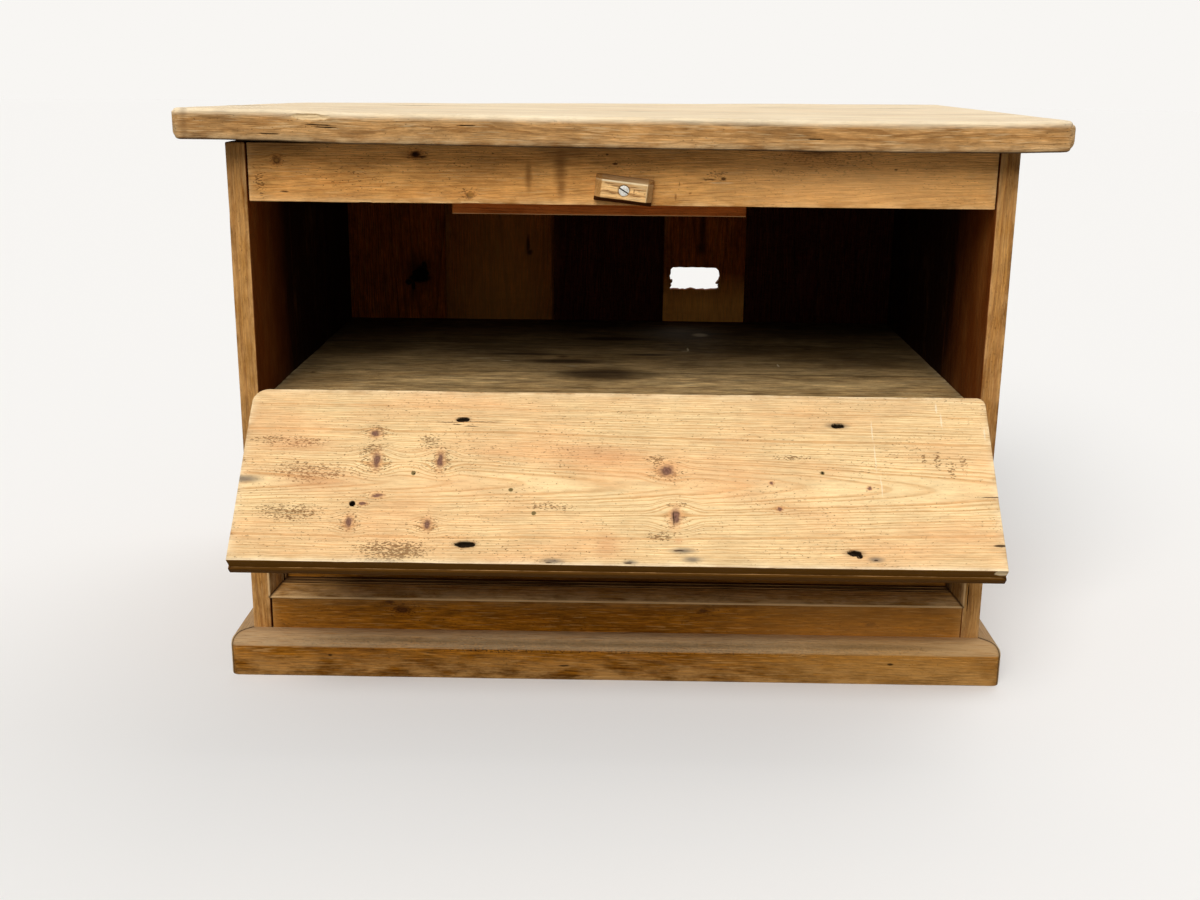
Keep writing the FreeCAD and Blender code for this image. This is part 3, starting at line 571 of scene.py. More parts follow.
def cut_out(piece, waste_mesh):
    """Cuts a waste shape out of a piece, and keeps the result as the piece's mesh."""
    waste = new_object("waste", waste_mesh)
    cut = piece.modifiers.new("cut", "BOOLEAN")
    cut.operation = "DIFFERENCE"
    cut.solver = "EXACT"
    cut.object = waste
    bpy.context.view_layer.update()
    finished = bpy.data.meshes.new_from_object(piece.evaluated_get(bpy.context.evaluated_depsgraph_get()))
    piece.modifiers.remove(cut)
    old_mesh = piece.data
    piece.data = finished
    bpy.data.meshes.remove(old_mesh)
    bpy.data.objects.remove(waste)
    bpy.data.meshes.remove(waste_mesh)


HINGE_HALF, LEAF, LEAF_BACK = 0.032, 0.002, 0.025
SEAT_PLAY, SEAT_OPEN = 0.0002, 0.010


def leaf_seats(front_y, low_z, high_z):
    """The waste where two hinge leaves are let in, between two heights."""
    bm = bmesh.new()
    for side in ("left", "right"):
        pin_low, pin_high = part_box(f"hinge_{side}_pin")
        seat = bmesh.ops.create_cube(bm, size=1)["verts"]
        size = (2 * (HINGE_HALF + SEAT_PLAY), LEAF_BACK + SEAT_OPEN + SEAT_PLAY, high_z - low_z)
        bmesh.ops.scale(bm, verts=seat, vec=size)
        middle_y = front_y + (LEAF_BACK + SEAT_PLAY - SEAT_OPEN) / 2
        bmesh.ops.translate(bm, verts=seat, vec=(
            (pin_low.x + pin_high.x) / 2, middle_y, (low_z + high_z) / 2))
    return new_mesh("leaf_seats", bm)


for level, kind, step in (("shelf", "plank", 0.009), ("floor", "board", 0.02)):
    level_middle = (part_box(f"{level}_front_{kind}")[0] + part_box(f"{level}_back_{kind}")[1]) / 2
    for number, place in enumerate(PLACES):
        node = f"{level}_{place}_{kind}"
        low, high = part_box(node)
        butted = butted_edges(number)
        board = worn_board(low, high, (step, 0.012, 0.012), 0.0014, 20 + number, butted)
        piece = add_piece(node, board, bare_pine)
        if node == "shelf_front_plank":
            cut_out(piece, leaf_seats(low.y, high.z - LEAF - 0.0001, high.z + 0.002))
        heart = (0.61 * number, 0.19 * number - 0.16, -0.05)
        mark_grain(piece.data, low, high, (X, Y, Z), heart, butted, middle=level_middle)

strips = [f"{level}_bearer_{side}" for level in ("shelf", "floor") for side in ("left", "right")]
strips += ["top_cleat_left", "top_cleat_right", "top_back_rail"]
for number, node in enumerate(strips):
    low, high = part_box(node)
    board = worn_board(low, high, (0.02, 0.02, 0.02), 0.001, 30 + number)
    piece = add_piece(node, board, bare_pine)
    way = (X, Z, Y) if node == "top_back_rail" else (Y, Z, X)
    mark_grain(piece.data, low, high, way, (0.43 * number, 0.02, 0.03))


# BACK BOARDS
# Six upright boards of random width, 14 mm thick, rebated to lap over each other and nailed to the shelf,
# the floor and the top's back rail. One has lost a knot, and one a slot that was broken out for a flex.

# Bare pine from the saw, darkened with age, and some red-brown boards painted near black on their inner face
# as shade, a mid brown on the outer.
back_look = dict(figure=7, lines=0.85, mottle=0.4, fibres=0.45, saw_marks=1.8, polish=0.65, loose_knots=0.15)
brown_back_look = dict(
    early="#b05b1a", late="#6a2c08", flush="#8a3f10", dirt="#1d0c04", rubbed="#9a6a38",
    knot=("#220e05", "#4a230e", "#150703"), **back_look)
# The marks of each board's own: stains round the lost knot with its hollow painted near black as shade, a
# broad painted light low on the second board, and a painted pool of light low on the fourth board's inner
# face.
holed_back_pine = pine(
    "holed_back_pine",
    # A dark stain round the lost knot, then its hollow painted near black as shade.
    marks=(("#2a1006", 0.8, 1.0, ((76, 31, 30, 26), (52, 22, 30, 5))), ("#0f0502", 0.97, 0.4, (
        (66, 33, 7, 18), (76, 38, 12, 9), (84, 41, 9, 5), (60, 17, 5, 6), (55, 24, 8, 3)))),
    **brown_back_look)
back_pine = pine(
    "sawn_back_pine",
    # A broad painted light over the lower part of the board, then dark stains.
    marks=(("#d79648", 0.6, 1.0, ((-60, 0, 280, 100),)), ("#2a1006", 0.85, 0.7, (
        (120, 40, 17, 3.2), (108, 42, 5, 5)))),
    **brown_back_look)
streaked_back_pine_painted_light = pine(
    # A painted pool of light on the inner face, low down.
    "streaked_back_pine_painted_light", faces=((2, -6.0, -6.8, "#f8ac50", 0.95, (0, 80, 30), (0, -60, 0)),),
    marks=(("#240d04", 0.85, 0.8, ((148, -9, 42, 6), (186, -6, 30, 4), (118, -10, 14, 9))),),
    **brown_back_look)
# Inner face near black as painted shade; the outer face a mid brown.
red_back_pine = pine(
    "dark_red_back_pine", early="#4c2110", late="#2b1006", flush="#391808", dirt="#120603", rubbed="#63361c",
    knot=("#180803", "#331708", "#0d0402"), faces=((2, 6.2, 6.8, "#744626", 0.8),), **back_look)

LAP_WIDTH, LAP_DEPTH, LAP_GAP = 0.010, 0.007, 0.0008
KNOT_HOLE, KNOT_HALF, KNOT_DEPTH = Vector((-0.306, 0, 0.396)), Vector((0.011, 1, 0.008)), 0.010
SLOT_MIDDLE, SLOT_HALF = Vector((0.1156, 0, 0.396)), Vector((0.037, 0, 0.017))


def cable_slot_cutter(near_y, far_y):
    """The waste of the slot: a long hexagon with torn edges, right through the board."""
    bm = bmesh.new()
    bmesh.ops.create_circle(bm, cap_ends=True, radius=1, segments=64)
    for vertex in bm.verts:
        angle = math.atan2(vertex.co.y, vertex.co.x)
        across = max(-1, min(1, 1.25 * math.cos(angle)))
        up = max(-1, min(1, 1.45 * math.sin(angle)))
        torn = 0.09 * noise.noise(Vector((math.cos(angle) * 3.1, math.sin(angle) * 3.1, 4)))
        torn += (0.13 if up < 0 else 0.03) * noise.noise(Vector((across * 7.3, up * 5.1, 9)))
        x = SLOT_MIDDLE.x + SLOT_HALF.x * (across + torn)
        vertex.co = (x, near_y, SLOT_MIDDLE.z + SLOT_HALF.z * (up + 1.4 * torn))
    raised = bmesh.ops.extrude_face_region(bm, geom=bm.faces[:])["geom"]
    far = [part for part in raised if isinstance(part, bmesh.types.BMVert)]
    bmesh.ops.translate(bm, verts=far, vec=(0, far_y - near_y, 0))
    bmesh.ops.recalc_face_normals(bm, faces=bm.faces)
    return new_mesh("slot_waste", bm)


for number in range(1, 7):
    node = f"back_board_{number}"
    low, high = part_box(node)
    laps = []
    if number < 6:
        laps.append((X, HIGH, LAP_WIDTH, Y, LOW, LAP_DEPTH))
    if number > 1:
        laps.append((X, LOW, LAP_WIDTH + LAP_GAP, Y, HIGH, LAP_DEPTH))
    hollow = ((Y, LOW, KNOT_HOLE, KNOT_HALF, KNOT_DEPTH),) if number == 1 else ()
    board = worn_board(low, high, (0.011, 0.02, 0.009), 0.0011, 40 + number, (), (), laps, hollow)
    look = {1: holed_back_pine, 2: back_pine, 4: streaked_back_pine_painted_light}.get(number, red_back_pine)
    piece = add_piece(node, board, look)
    if number == 4:
        cut_out(piece, cable_slot_cutter(low.y - 0.002, high.y + 0.002))
    heart_across = (0.05, 0.02, -0.09, 0.0, 0.03, -0.04)[number - 1]
    mark_grain(piece.data, low, high, (Z, X, Y), (0.53 * number, heart_across, 0.05), (), hollow)


# LOWER FRONT
# Two rails are tenoned between the sides, with a panel of two boards behind them. A mitred moulding is
# nailed round the opening, bevelled down to the panel with a bead at its inner edge.

# Waxed pine low down, kicked and grimy: a deep orange brown, darker as painted shade under the open flap, with
# a painted shadow line along its top edge under the moulding's lip and broad painted light at its ends,
# strongest at the right.
WAXED_KNOT = ("#351807", "#5c3213", "#230e04")
waxed_rail_pine = pine(
    "waxed_bottom_rail_pine", early="#a06213", late="#633406", flush="#80480b", dirt="#331a07",
    rubbed="#b98a50", knot=WAXED_KNOT, figure=7,
    knots=((-270, 34, 5, 2.4), (-255, 24, 9, 4), (106, 28, 6, 2.2), (305, 13, 5, 3)), specks=0.8, mottle=0.3,
    fibres=0.5,
    marks=(
        # Broad painted light at the ends, strongest at the right.
        ("#e09a4a", 0.4, 1.0, ((320, 0, 200, 60),)), ("#e09a4a", 0.12, 1.0, ((-390, 0, 110, 60),)),
        # A painted shadow line along the top edge, under the moulding's lip.
        ("#1f0f05", 0.85, 0.6, ((0, 38.6, 900, 1.7),))))
RAIL_GAP = 0.0016
for number, (node, worn) in enumerate((
        ("mid_rail", 0.0012), ("bottom_rail", 0.0014), ("lower_panel_board_bottom", 0.0008),
        ("lower_panel_board_top", 0.0008))):
    low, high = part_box(node)
    short_low = low + Vector((RAIL_GAP if node == "bottom_rail" else 0, 0, 0))
    step = 0.006 if node == "bottom_rail" else 0.015
    board = worn_board(short_low, high, (step, 0.012, 0.009), worn, 50 + number)
    piece = add_piece(node, board, waxed_rail_pine)
    mark_grain(piece.data, low, high, (X, Z, Y), (0.47 * number, 0.03 - 0.02 * number, 0.06))


def moulding(outline, length, step, soft, lean, seed):
    """A length of moulding along X about the origin, from its outline of (y, z) points.

    lean: how far in from each end the mitre has run at an outline point (y, z). The point attribute
    "mitre" keeps how far each point is from the nearer end.
    """
    bm = bmesh.new()
    face = bm.faces.new([bm.verts.new((0, y, z)) for y, z in outline])
    bmesh.ops.bevel(
        bm, geom=face.verts[:], offset=soft, segments=2, profile=0.5, affect="VERTICES", material=-1,
        clamp_overlap=True)
    raised = bmesh.ops.extrude_face_region(bm, geom=bm.faces[:])["geom"]
    bmesh.ops.translate(
        bm, verts=[part for part in raised if isinstance(part, bmesh.types.BMVert)], vec=(1, 0, 0))
    along = [edge for edge in bm.edges if abs(edge.verts[0].co.x - edge.verts[1].co.x) > 0.5]
    bmesh.ops.subdivide_edges(bm, edges=along, cuts=max(1, round(length / step)))
    mitre = bm.verts.layers.float.new("mitre")
    for vertex in bm.verts:
        share, y, z = vertex.co
        # The mesh lines crowd towards the ends, where the mitres' dirt lies.
        share -= 0.8 * math.sin(2 * math.pi * share) / (2 * math.pi)
        start, end = -length / 2 + lean(y, z)[0], length / 2 - lean(y, z)[1]
        vertex.co.x = start + (end - start) * share
        vertex[mitre] = (end - start) * min(share, 1 - share)
        shake = Vector((vertex.co.x * 16, y * 30, z * 30 + seed))
        vertex.co.y += 0.0003 * max(0, noise.noise(shake) + 0.6)
        vertex.co.z += 0.00025 * noise.noise(shake + Vector((5, 5, 5)))
    bmesh.ops.recalc_face_normals(bm, faces=bm.faces)
    return bm


BEVEL_IN, BEVEL_BACK = 0.0095, 0.020
BEAD_IN, BEAD_BACK, INNER_IN = 0.0118, 0.0235, 0.0145
RAIL_DEPTH = 0.030
LIP, GROOVE = 0.0018, 0.0009
# (inward from the opening's edge, back from the rails' face). The lip stands proud of the rails.
panel_outline = (
    (-LIP, -LIP), (0.0002, -LIP), (BEVEL_IN, BEVEL_BACK), (BEVEL_IN, BEVEL_BACK + GROOVE),
    (BEAD_IN, BEVEL_BACK), (BEAD_IN, BEAD_BACK + GROOVE), (INNER_IN, BEAD_BACK), (INNER_IN, RAIL_DEPTH),
    (0, RAIL_DEPTH), (0, 0.0008), (-LIP, 0.0004))
# Pine planed to a moulding and waxed: paler than the rails as painted light on its bevel, with pale lines on
# its lip and bead that are rubbed wear and painted highlight, and painted shade in its grooves.
moulding_pine = pine(
    "waxed_moulding_pine", early="#c48e46", late="#855321", flush="#a87030", dirt="#3a1f0a",
    rubbed="#d9b27e", knot=WAXED_KNOT, figure=5, mottle=0.3, fibres=0.45, specks=0.8,
    faces=(
        # Painted highlights on the lip and bead, and painted shade in the grooves.
        (2, -15.2, -16.2, "#e8c089", 0.8), (2, 4.2, 4.8, "#dba868", 0.8), (2, 5.2, 5.5, "#2c1406", 1.0),
        (2, 8.0, 8.3, "#c9965a", 0.8), (2, 8.7, 9.0, "#2c1406", 1.0)))
low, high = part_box("bottom_rail")
opening_low, opening_high = Vector((low.x, low.y, high.z)), Vector((high.x, high.y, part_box("mid_rail")[0].z))


def mitred_side(outline, low, high, turn, step, soft, seed):
    """One member of a mitred frame in the X-Z plane: bottom, left, top or right by its quarter turns."""
    centre = (low + high) / 2
    length, reach = high.x - low.x, (high.z - low.z) / 2
    if turn % 2 == 1:
        length, reach = high.z - low.z, (high.x - low.x) / 2
    points = [(back, inward - reach) for inward, back in outline]
    member = moulding(points, length, step, soft, lambda y, z: (z + reach + 0.0003,) * 2, seed + turn)
    place = Matrix.Translation((centre.x, low.y, centre.z)) @ Matrix.Rotation(math.radians(90 * turn), 4, "Y")
    bmesh.ops.transform(member, matrix=place, verts=member.verts)
    return member


for turn, name in enumerate(("bottom", "left", "top", "right")):
    node = f"panel_moulding_{name}"
    member = mitred_side(panel_outline, opening_low, opening_high, turn, 0.012, 0.0003, 60)
    piece = add_piece(node, member, moulding_pine)
    low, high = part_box(node)
    way = (X, Z, Y) if turn % 2 == 0 else (Z, X, Y)
    mark_grain(piece.data, low, high, way, (0.9 + 0.31 * turn, 0.05, 0.02))


# FLAP REST
# A coved moulding glued and nailed to the mid rail under the hinges. Its bevelled nose has the slope of the
# open flap, which leans on it. It is run from one length of waxed pine.

NOSE_BEVEL, NOSE_LIP, FOOT = 0.0128, 0.005, 0.007
COVE_SAG, COVE_STEPS = 0.15, 6
low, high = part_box("flap_rest_moulding")
cove_start = Vector((low.y, high.z - NOSE_BEVEL - NOSE_LIP))
cove_end = Vector((high.y - FOOT, low.z))
rest_outline = [(high.y, low.z), (high.y, high.z), (low.y + NOSE_BEVEL, high.z), (low.y, high.z - NOSE_BEVEL)]
for step in range(COVE_STEPS + 1):
    sag = COVE_SAG * math.sin(math.pi * step / COVE_STEPS)
    across = cove_start.lerp(cove_end, step / COVE_STEPS)
    rest_outline.append((
        across.x - sag * (cove_end.y - cove_start.y), across.y - sag * (cove_start.x - cove_end.x)))
rest = moulding(rest_outline, high.x - low.x, 0.012, 0.0008, lambda y, z: (0, 0), 66)
piece = add_piece("flap_rest_moulding", rest, waxed_rail_pine)
mark_grain(piece.data, low, high, (X, Z, Y), (1.7, 0.03, 0.04))


# TOP RAIL AND STOP BATTEN
# The rail is tenoned between the sides, flush with their front edges. A rough batten nailed behind it hangs
# below it and stops the flap. The rail shows a knot, a swirl of grain and the marks of many hands.

# Waxed pine that hands have touched most: a warm golden brown with soft rings and a satin shine, and a broad
# painted light over its right part.
rail_pine = pine(
    "waxed_rail_pine", early="#f4b466", late="#ae6a2c", flush="#d98f46", dirt="#4c280e", rubbed="#f0c58a",
    knot=("#2c1509", "#5a3318", "#3a1d0c"), ring=1.9, figure=9, flushed=0.55, lines=0.55, mottle=0.26,
    fibres=0.26, specks=0.7,
    knots=((-226, 19, 5, 3.6), (-379, 11, 4, 4), (-167, -25, 4, 3), (212, 39, 30, 15)),
    speckled=((-226, 18, 12, 7), (-379, 11, 11, 8), (-167, -25, 14, 9), (104, 2, 12, 5), (-398, -12, 7, 20)),
    marks=(
        # A broad painted light over the right part of the rail.
        ("#ffc27c", 0.45, 1.0, ((260, -8, 180, 34),)),
        ("#7a4a20", 0.7, 0.9, ((-102, -4, 4, 17), (-67, 2, 8, 24), (-66, -14, 6, 14))),
        ("#5a3014", 0.4, 0.9, ((-226, 18, 14, 6), (-60, 22, 40, 8), (-380, 27, 60, 6))),
        ("#b98240", 0.75, 0.6, ((-379, 11, 2.6, 2.4), (-166, -24, 4, 3.2))),
        ("#1f0d05", 0.9, 0.8, ((-226, 19, 4.4, 3.2), (-218, 16, 5, 1.2))),
        ("#35190a", 0.85, 1.0, ((214, 30, 22, 7),)),
        ("#3a1c0a", 0.85, 0.5, (
            (-7, 11, 3, 1.3), (-16, 21, 1.6, 1.2), (97, -5, 8, 0.8), (106, -8, 5, 0.7), (112, -4, 3, 2),
            (300, 8, 2, 1), (-372, -23, 5, 1))),
        ("#7a4318", 0.6, 0.7, ((60, -24, 1.2, 4), (64, -10, 1, 2.5), (76, -20, 2, 1.2)))))
low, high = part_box("top_rail")
rail_dents = (
    (Z, LOW, Vector((-0.283, low.y, low.z)), Vector((0.006, 0.010, 1)), 0.0012),
    (Z, LOW, Vector((-0.1668, low.y, low.z)), Vector((0.008, 0.009, 1)), 0.0018),
    (Y, LOW, Vector((0.11, low.y, low.z + 0.026)), Vector((0.012, 1, 0.0010)), 0.0008))
short_high = high - Vector((0.0013, 0, TOP_DROP))
board = worn_board(
    low + Vector((RAIL_GAP, 0, 0)), short_high, (0.0045, 0.010, 0.006), 0.0015, 71, scars=rail_dents,
    chips=1.8)
piece = add_piece("top_rail", board, rail_pine)
mark_grain(piece.data, low, high, (X, Z, Y), (0.2, -0.045, 0.05), (), rail_dents)

# Rough pine, waxed and grimy: a plain red-brown with a paler lower edge.
batten_pine = pine(
    "stop_batten_pine", early="#cb7334", late="#84401a", flush="#a65820", dirt="#2a1206", rubbed="#c27a3c",
    knot=("#2c1509", "#5a3318", "#2b1409"), ring=2.6, figure=3, faces=((1, -26.4, -26.9, "#cda173", 1.0),))
low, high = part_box("stop_batten")
board = worn_board(low, high, (0.006, 0.010, 0.010), 0.0010, 73)
piece = add_piece("stop_batten", board, batten_pine)
mark_grain(piece.data, low, high, (X, Z, Y), (0.8, 0.06, 0.02))


# TURN BUTTON
# A block of softwood with its long edges and ends planed to a bevel, worn shiny by fingers. It turns on one
# slotted wood screw, whose countersunk head sits a little below its face.

# Softwood with bold rings, waxed and polished by fingers: pale gold, with painted highlights along its upper
# arris and right end, painted shade on its upper bevel and a near black painted shadow on its lower bevel; its
# end bevels are browner end grain.
button_pine = pine(
    "waxed_button_pine", early="#ffcb86", late="#a3682e", flush="#e0a55e", dirt="#45260f", rubbed="#fbdca6",
    knot=("#41220f", "#7a4722", "#2b1409"), ring=3.2, figure=2, lines=0.95, fibres=0.35, polish=0.45,
    faces=(
        # Painted highlights along the upper arris and the right end, browner end-grain bevels, painted shade
        # on the upper bevel and a painted shadow on the lower.
        (1, 7.6, 8.8, "#fff0c8", 0.7), (0, 24.0, 24.8, "#ffe2ac", 0.7), (0, 25.2, 26.0, "#a8702e", 0.8),
        (0, -24.6, -25.6, "#bd8440", 0.7), (1, 9.4, 10.2, "#96632a", 1.0),
        (1, -9.4, -10.2, "#3d1c07", 1.3)),
    marks=(
        ("#6e421c", 0.75, 0.5, (
            (-17, 6.5, 6, 0.5), (-11, 4.5, 5, 0.5), (-19, -1.5, 5, 0.5), (-12, -4, 5, 0.5), (10, 5, 6, 0.5),
            (18, 2.5, 5, 0.5), (10, -2, 3, 0.6), (15, -4.5, 5, 0.5), (11, 0.5, 0.6, 2.5))),
        ("#3a2412", 0.85, 0.35, ((0, 0, 6.8, 6.8),))))

BUTTON_LENGTH, BUTTON_HEIGHT, BUTTON_THICKNESS = 0.064, 0.029, 0.018
BUTTON_FACE_LENGTH, BUTTON_FACE_HEIGHT = 0.050, 0.0195
BUTTON_SHOULDER = 0.007
BUTTON_TILT = math.radians(6.5)
HEAD_RADIUS, SHANK_RADIUS = 0.00575, 0.0025
HEAD_DEPTH = HEAD_RADIUS - SHANK_RADIUS
SCREW_SUNK, SCREW_TURN = 0.0003, math.radians(32)
screw_low, screw_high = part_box("turn_button_screw")
button_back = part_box("turn_button")[1].y
button_centre = Vector(((screw_low.x + screw_high.x) / 2, button_back, (screw_low.z + screw_high.z) / 2))

bm = bmesh.new()
bmesh.ops.create_cube(bm, size=1)
bmesh.ops.scale(bm, verts=bm.verts, vec=(BUTTON_LENGTH, BUTTON_THICKNESS, BUTTON_HEIGHT))
bmesh.ops.translate(bm, verts=bm.verts, vec=(0, -BUTTON_THICKNESS / 2, 0))
bmesh.ops.bisect_plane(
    bm, geom=bm.verts[:] + bm.edges[:] + bm.faces[:], plane_co=(0, -BUTTON_SHOULDER, 0),
    plane_no=(0, 1, 0))
for vertex in bm.verts:
    if vertex.co.y < -BUTTON_THICKNESS + 0.0001:
        vertex.co.x *= BUTTON_FACE_LENGTH / BUTTON_LENGTH
        vertex.co.z *= BUTTON_FACE_HEIGHT / BUTTON_HEIGHT
bmesh.ops.bevel(
    bm, geom=bm.edges[:], offset=0.0011, segments=3, profile=0.5, affect="EDGES", material=-1,
    clamp_overlap=True)
bmesh.ops.subdivide_edges(
    bm, edges=[edge for edge in bm.edges if edge.calc_length() > 0.006], cuts=11, use_grid_fill=True)
for vertex in bm.verts:
    vertex.co *= 1 - 0.012 * (0.5 + noise.noise(vertex.co * 90))
crease(bm)
button = new_object("old_turn_button", new_mesh("old_turn_button", bm))


def turned(profile, turn_steps=40):
    """A solid turned about Y from its outline of (radius, y) points, which starts and ends on the axis."""
    bm = bmesh.new()
    points = [bm.verts.new((radius, y, 0)) for radius, y in profile]
    edges = [bm.edges.new(pair) for pair in zip(points, points[1:])]
    bmesh.ops.spin(
        bm, geom=points + edges, cent=(0, 0, 0), axis=(0, 1, 0), angle=2 * math.pi, steps=turn_steps,
        use_merge=True)
    bmesh.ops.remove_doubles(bm, verts=bm.verts, dist=0.000001)
    bmesh.ops.recalc_face_normals(bm, faces=bm.faces)
    return bm


sink_rim = HEAD_RADIUS + 0.0006
waste = turned([
    (0, -BUTTON_THICKNESS - 0.001), (sink_rim, -BUTTON_THICKNESS - 0.001),
    (sink_rim, -BUTTON_THICKNESS + 0.0002), (SHANK_RADIUS, -BUTTON_THICKNESS + 0.0004 + HEAD_DEPTH),
    (SHANK_RADIUS, 0.001), (0, 0.001)])
cut_out(button, new_mesh("screw_waste", waste))
button.data.materials.clear()
button.data.materials.append(button_pine)
button_half = Vector((BUTTON_LENGTH / 2, BUTTON_THICKNESS / 2, BUTTON_HEIGHT / 2))
button_middle = Vector((0, -BUTTON_THICKNESS / 2, 0))
mark_grain(
    button.data, button_middle - button_half, button_middle + button_half, (X, Z, Y), (0.13, 0.012, 0.02))
button.data.transform(Matrix.Translation(button_centre) @ Matrix.Rotation(BUTTON_TILT, 4, "Y"))
stand_for(button, "turn_button", "turn_button")


def worn_metal(name, clean, dull, rust, rusted, rough):
    """Bare metal with a dull skin: clean where it is rubbed, dull elsewhere, with specks of rust."""
    material, tree, shader = new_material(name)
    place = add(tree, "TexCoord", out=3)
    cloud = add(tree, "TexNoise", {"Vector": place, "Scale": 380.0, "Detail": 4.0, "Roughness": 0.65})
    blotch = add(tree, "MapRange", (cloud, 0.38, 0.62))
    colour = add(tree, "Mix", {0: blotch, 6: linear(clean), 7: linear(dull)}, out=2, data_type="RGBA")
    speck = add(tree, "TexNoise", {"Vector": place, "Scale": 900.0, "Detail": 3.0})
    speck = add(tree, "MapRange", (speck, 0.68 - 0.3 * rusted, 0.74 - 0.25 * rusted))
    colour = add(tree, "Mix", {0: speck, 6: colour, 7: linear(rust)}, out=2, data_type="RGBA")
    bump = add(tree, "Bump", {"Strength": 0.4, "Distance": 0.0002, "Height": cloud})
    feed(tree, shader, {
        "Base Color": colour, "Normal": bump, "Metallic": add(tree, "MapRange", (speck, 0.0, 1.0, 1.0, 0.1)),
        "Roughness": add(tree, "MapRange", (cloud, 0.3, 0.7, rough - 0.1, rough + 0.15))})
    return material


# Zinc-plated steel: a bluish white plate that has gone matt, with dark dirt in the slot.
zinc = worn_metal("dull_zinc_plate", "#d8d6cf", "#b1ada2", "#7d6f5c", 0.1, 0.42)
SCREW_LENGTH = screw_high.y - screw_low.y
screw = turned([
    (0, 0), (HEAD_RADIUS - 0.0007, 0), (HEAD_RADIUS - 0.0002, 0.0001), (HEAD_RADIUS, 0.0004),
    (SHANK_RADIUS, HEAD_DEPTH + 0.0003), (SHANK_RADIUS, SCREW_LENGTH - 0.005), (0, SCREW_LENGTH)])
crease(screw)
screw_piece = new_object("slotted_zinc_screw", new_mesh("slotted_zinc_screw", screw))
slot = bmesh.new()
bmesh.ops.create_cube(slot, size=1)
bmesh.ops.scale(slot, verts=slot.verts, vec=(0.014, 0.003, 0.0015))
cut_out(screw_piece, new_mesh("screw_slot", slot))
screw_piece.data.materials.clear()
screw_piece.data.materials.append(zinc)
screw_piece.data.materials.append(worn_metal("dirt_in_the_slot", "#2b2620", "#1c1814", "#33261a", 0.6, 0.8))
for face in screw_piece.data.polygons:
    in_slot = abs(face.center.z) < 0.00076 and math.hypot(face.center.x, face.center.z) < HEAD_RADIUS - 0.0001
    face.material_index = 1 if in_slot and face.center.y > 0.0004 and face.center.y < 0.0016 else 0
screw_place = Vector((button_centre.x, screw_low.y + SCREW_SUNK, button_centre.z))
screw_piece.data.transform(Matrix.Translation(screw_place) @ Matrix.Rotation(SCREW_TURN, 4, "Y"))
stand_for(screw_piece, "carcass", "turn_button_screw")


# PLINTH
# A front and two returns of pine, mitred at the front corners, their top edges worn to a round by feet. They
# are nailed to the body, and brooms and mops have greyed their tops.

PLINTH_ROUND = 0.015
plinth_low, plinth_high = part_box("plinth_front")
body_low, body_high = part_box("side_left_front_plank")[0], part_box("side_right_back_plank")[1]
PLINTH_OUT = body_low.y - plinth_low.y

# Waxed pine at floor level: a dark orange brown with coarse fibres, greyed where feet and mops reach it, and a
# broad painted light towards the right end of the front.
plinth_look = dict(
    early="#a96a19", late="#613308", flush="#85490a", dirt="#2c1707", rubbed="#c49356", knot=WAXED_KNOT,
    ring=2.3, figure=9, loose_knots=0.25, lines=0.9, specks=0.85, flushed=0.35, mottle=0.2, fibres=0.55)
plinth_tops = ((1, 10.5, 12.5, "#bd9e76", 0.85), (1, -22.5, -26, "#9a7a4c", 0.4))
plinth_pine = pine(
    "waxed_plinth_pine", faces=plinth_tops, speckled=((0, 17, 400, 9), (-150, 16, 80, 8), (220, 17, 90, 8)),
    marks=(
        # A broad painted light towards the right end.
        ("#ecb060", 0.3, 1.0, ((340, 0, 170, 60),)),
        ("#1d0f06", 0.85, 0.5, ((-339, 1, 3, 1.4), (327, 0, 4, 1.5), (-60, -8, 7, 1.2))),
        ("#5f4a2c", 0.5, 0.9, ((0, 19, 300, 3), (-250, 20, 120, 3), (300, 20, 100, 3)))),
    **plinth_look)
# The returns are rubbed palest at their mitred front ends.
return_pine = pine(
    "waxed_plinth_return_pine", faces=plinth_tops + ((0, -286, -296, "#e2c394", 0.75),), **plinth_look)


def plinth_length(length, lean, seed):
    """A length of plinth along X with its back at y = 0 and its face towards -Y."""
    points = [(0, 0), (-PLINTH_OUT, 0)]
    for step in range(7):
        angle = math.radians(90 * step / 6)
        points.append((
            -PLINTH_OUT + PLINTH_ROUND * (1 - math.cos(angle)),
            plinth_high.z - PLINTH_ROUND * (1 - math.sin(angle))))
    points.append((0, plinth_high.z))
    return moulding(points, length, 0.006, 0.0006, lean, seed)


MITRE_GAP = 0.0007
PLINTH_CORNER = 0.010
plinth_ends = (Vector((-plinth_high.x, plinth_low.y, 0)), plinth_high)
plinth_corners = ((X, LOW, Y, LOW, PLINTH_CORNER), (X, HIGH, Y, LOW, PLINTH_CORNER))
front = plinth_length(body_high.x - body_low.x, lambda y, z: (y + MITRE_GAP, y + MITRE_GAP), 80)
bmesh.ops.translate(front, verts=front.verts, vec=(0, body_low.y, 0))
round_corners(front, plinth_ends, plinth_corners)
piece = add_piece("plinth_front", front, plinth_pine)
mark_grain(piece.data, plinth_low, plinth_high, (X, Z, Y), (0.3, 0.012, 0.045))
for side, sign in (("left", -1), ("right", 1)):
    node = f"plinth_{side}"
    low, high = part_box(node)
    lean = (lambda y, z: (0, y + MITRE_GAP)) if side == "left" else (lambda y, z: (y + MITRE_GAP, 0))
    length = plinth_length(high.y - body_low.y, lean, 82 + sign)
    place = Matrix.Translation((sign * body_high.x, (high.y + body_low.y) / 2, 0))
    place = place @ Matrix.Rotation(math.radians(90 * sign), 4, "Z")
    bmesh.ops.transform(length, matrix=place, verts=length.verts)
    round_corners(length, plinth_ends, plinth_corners)
    piece = add_piece(node, length, return_pine)
    mark_grain(piece.data, low, high, (Y, Z, X), (0.7 + 0.4 * sign, -0.02, 0.05))


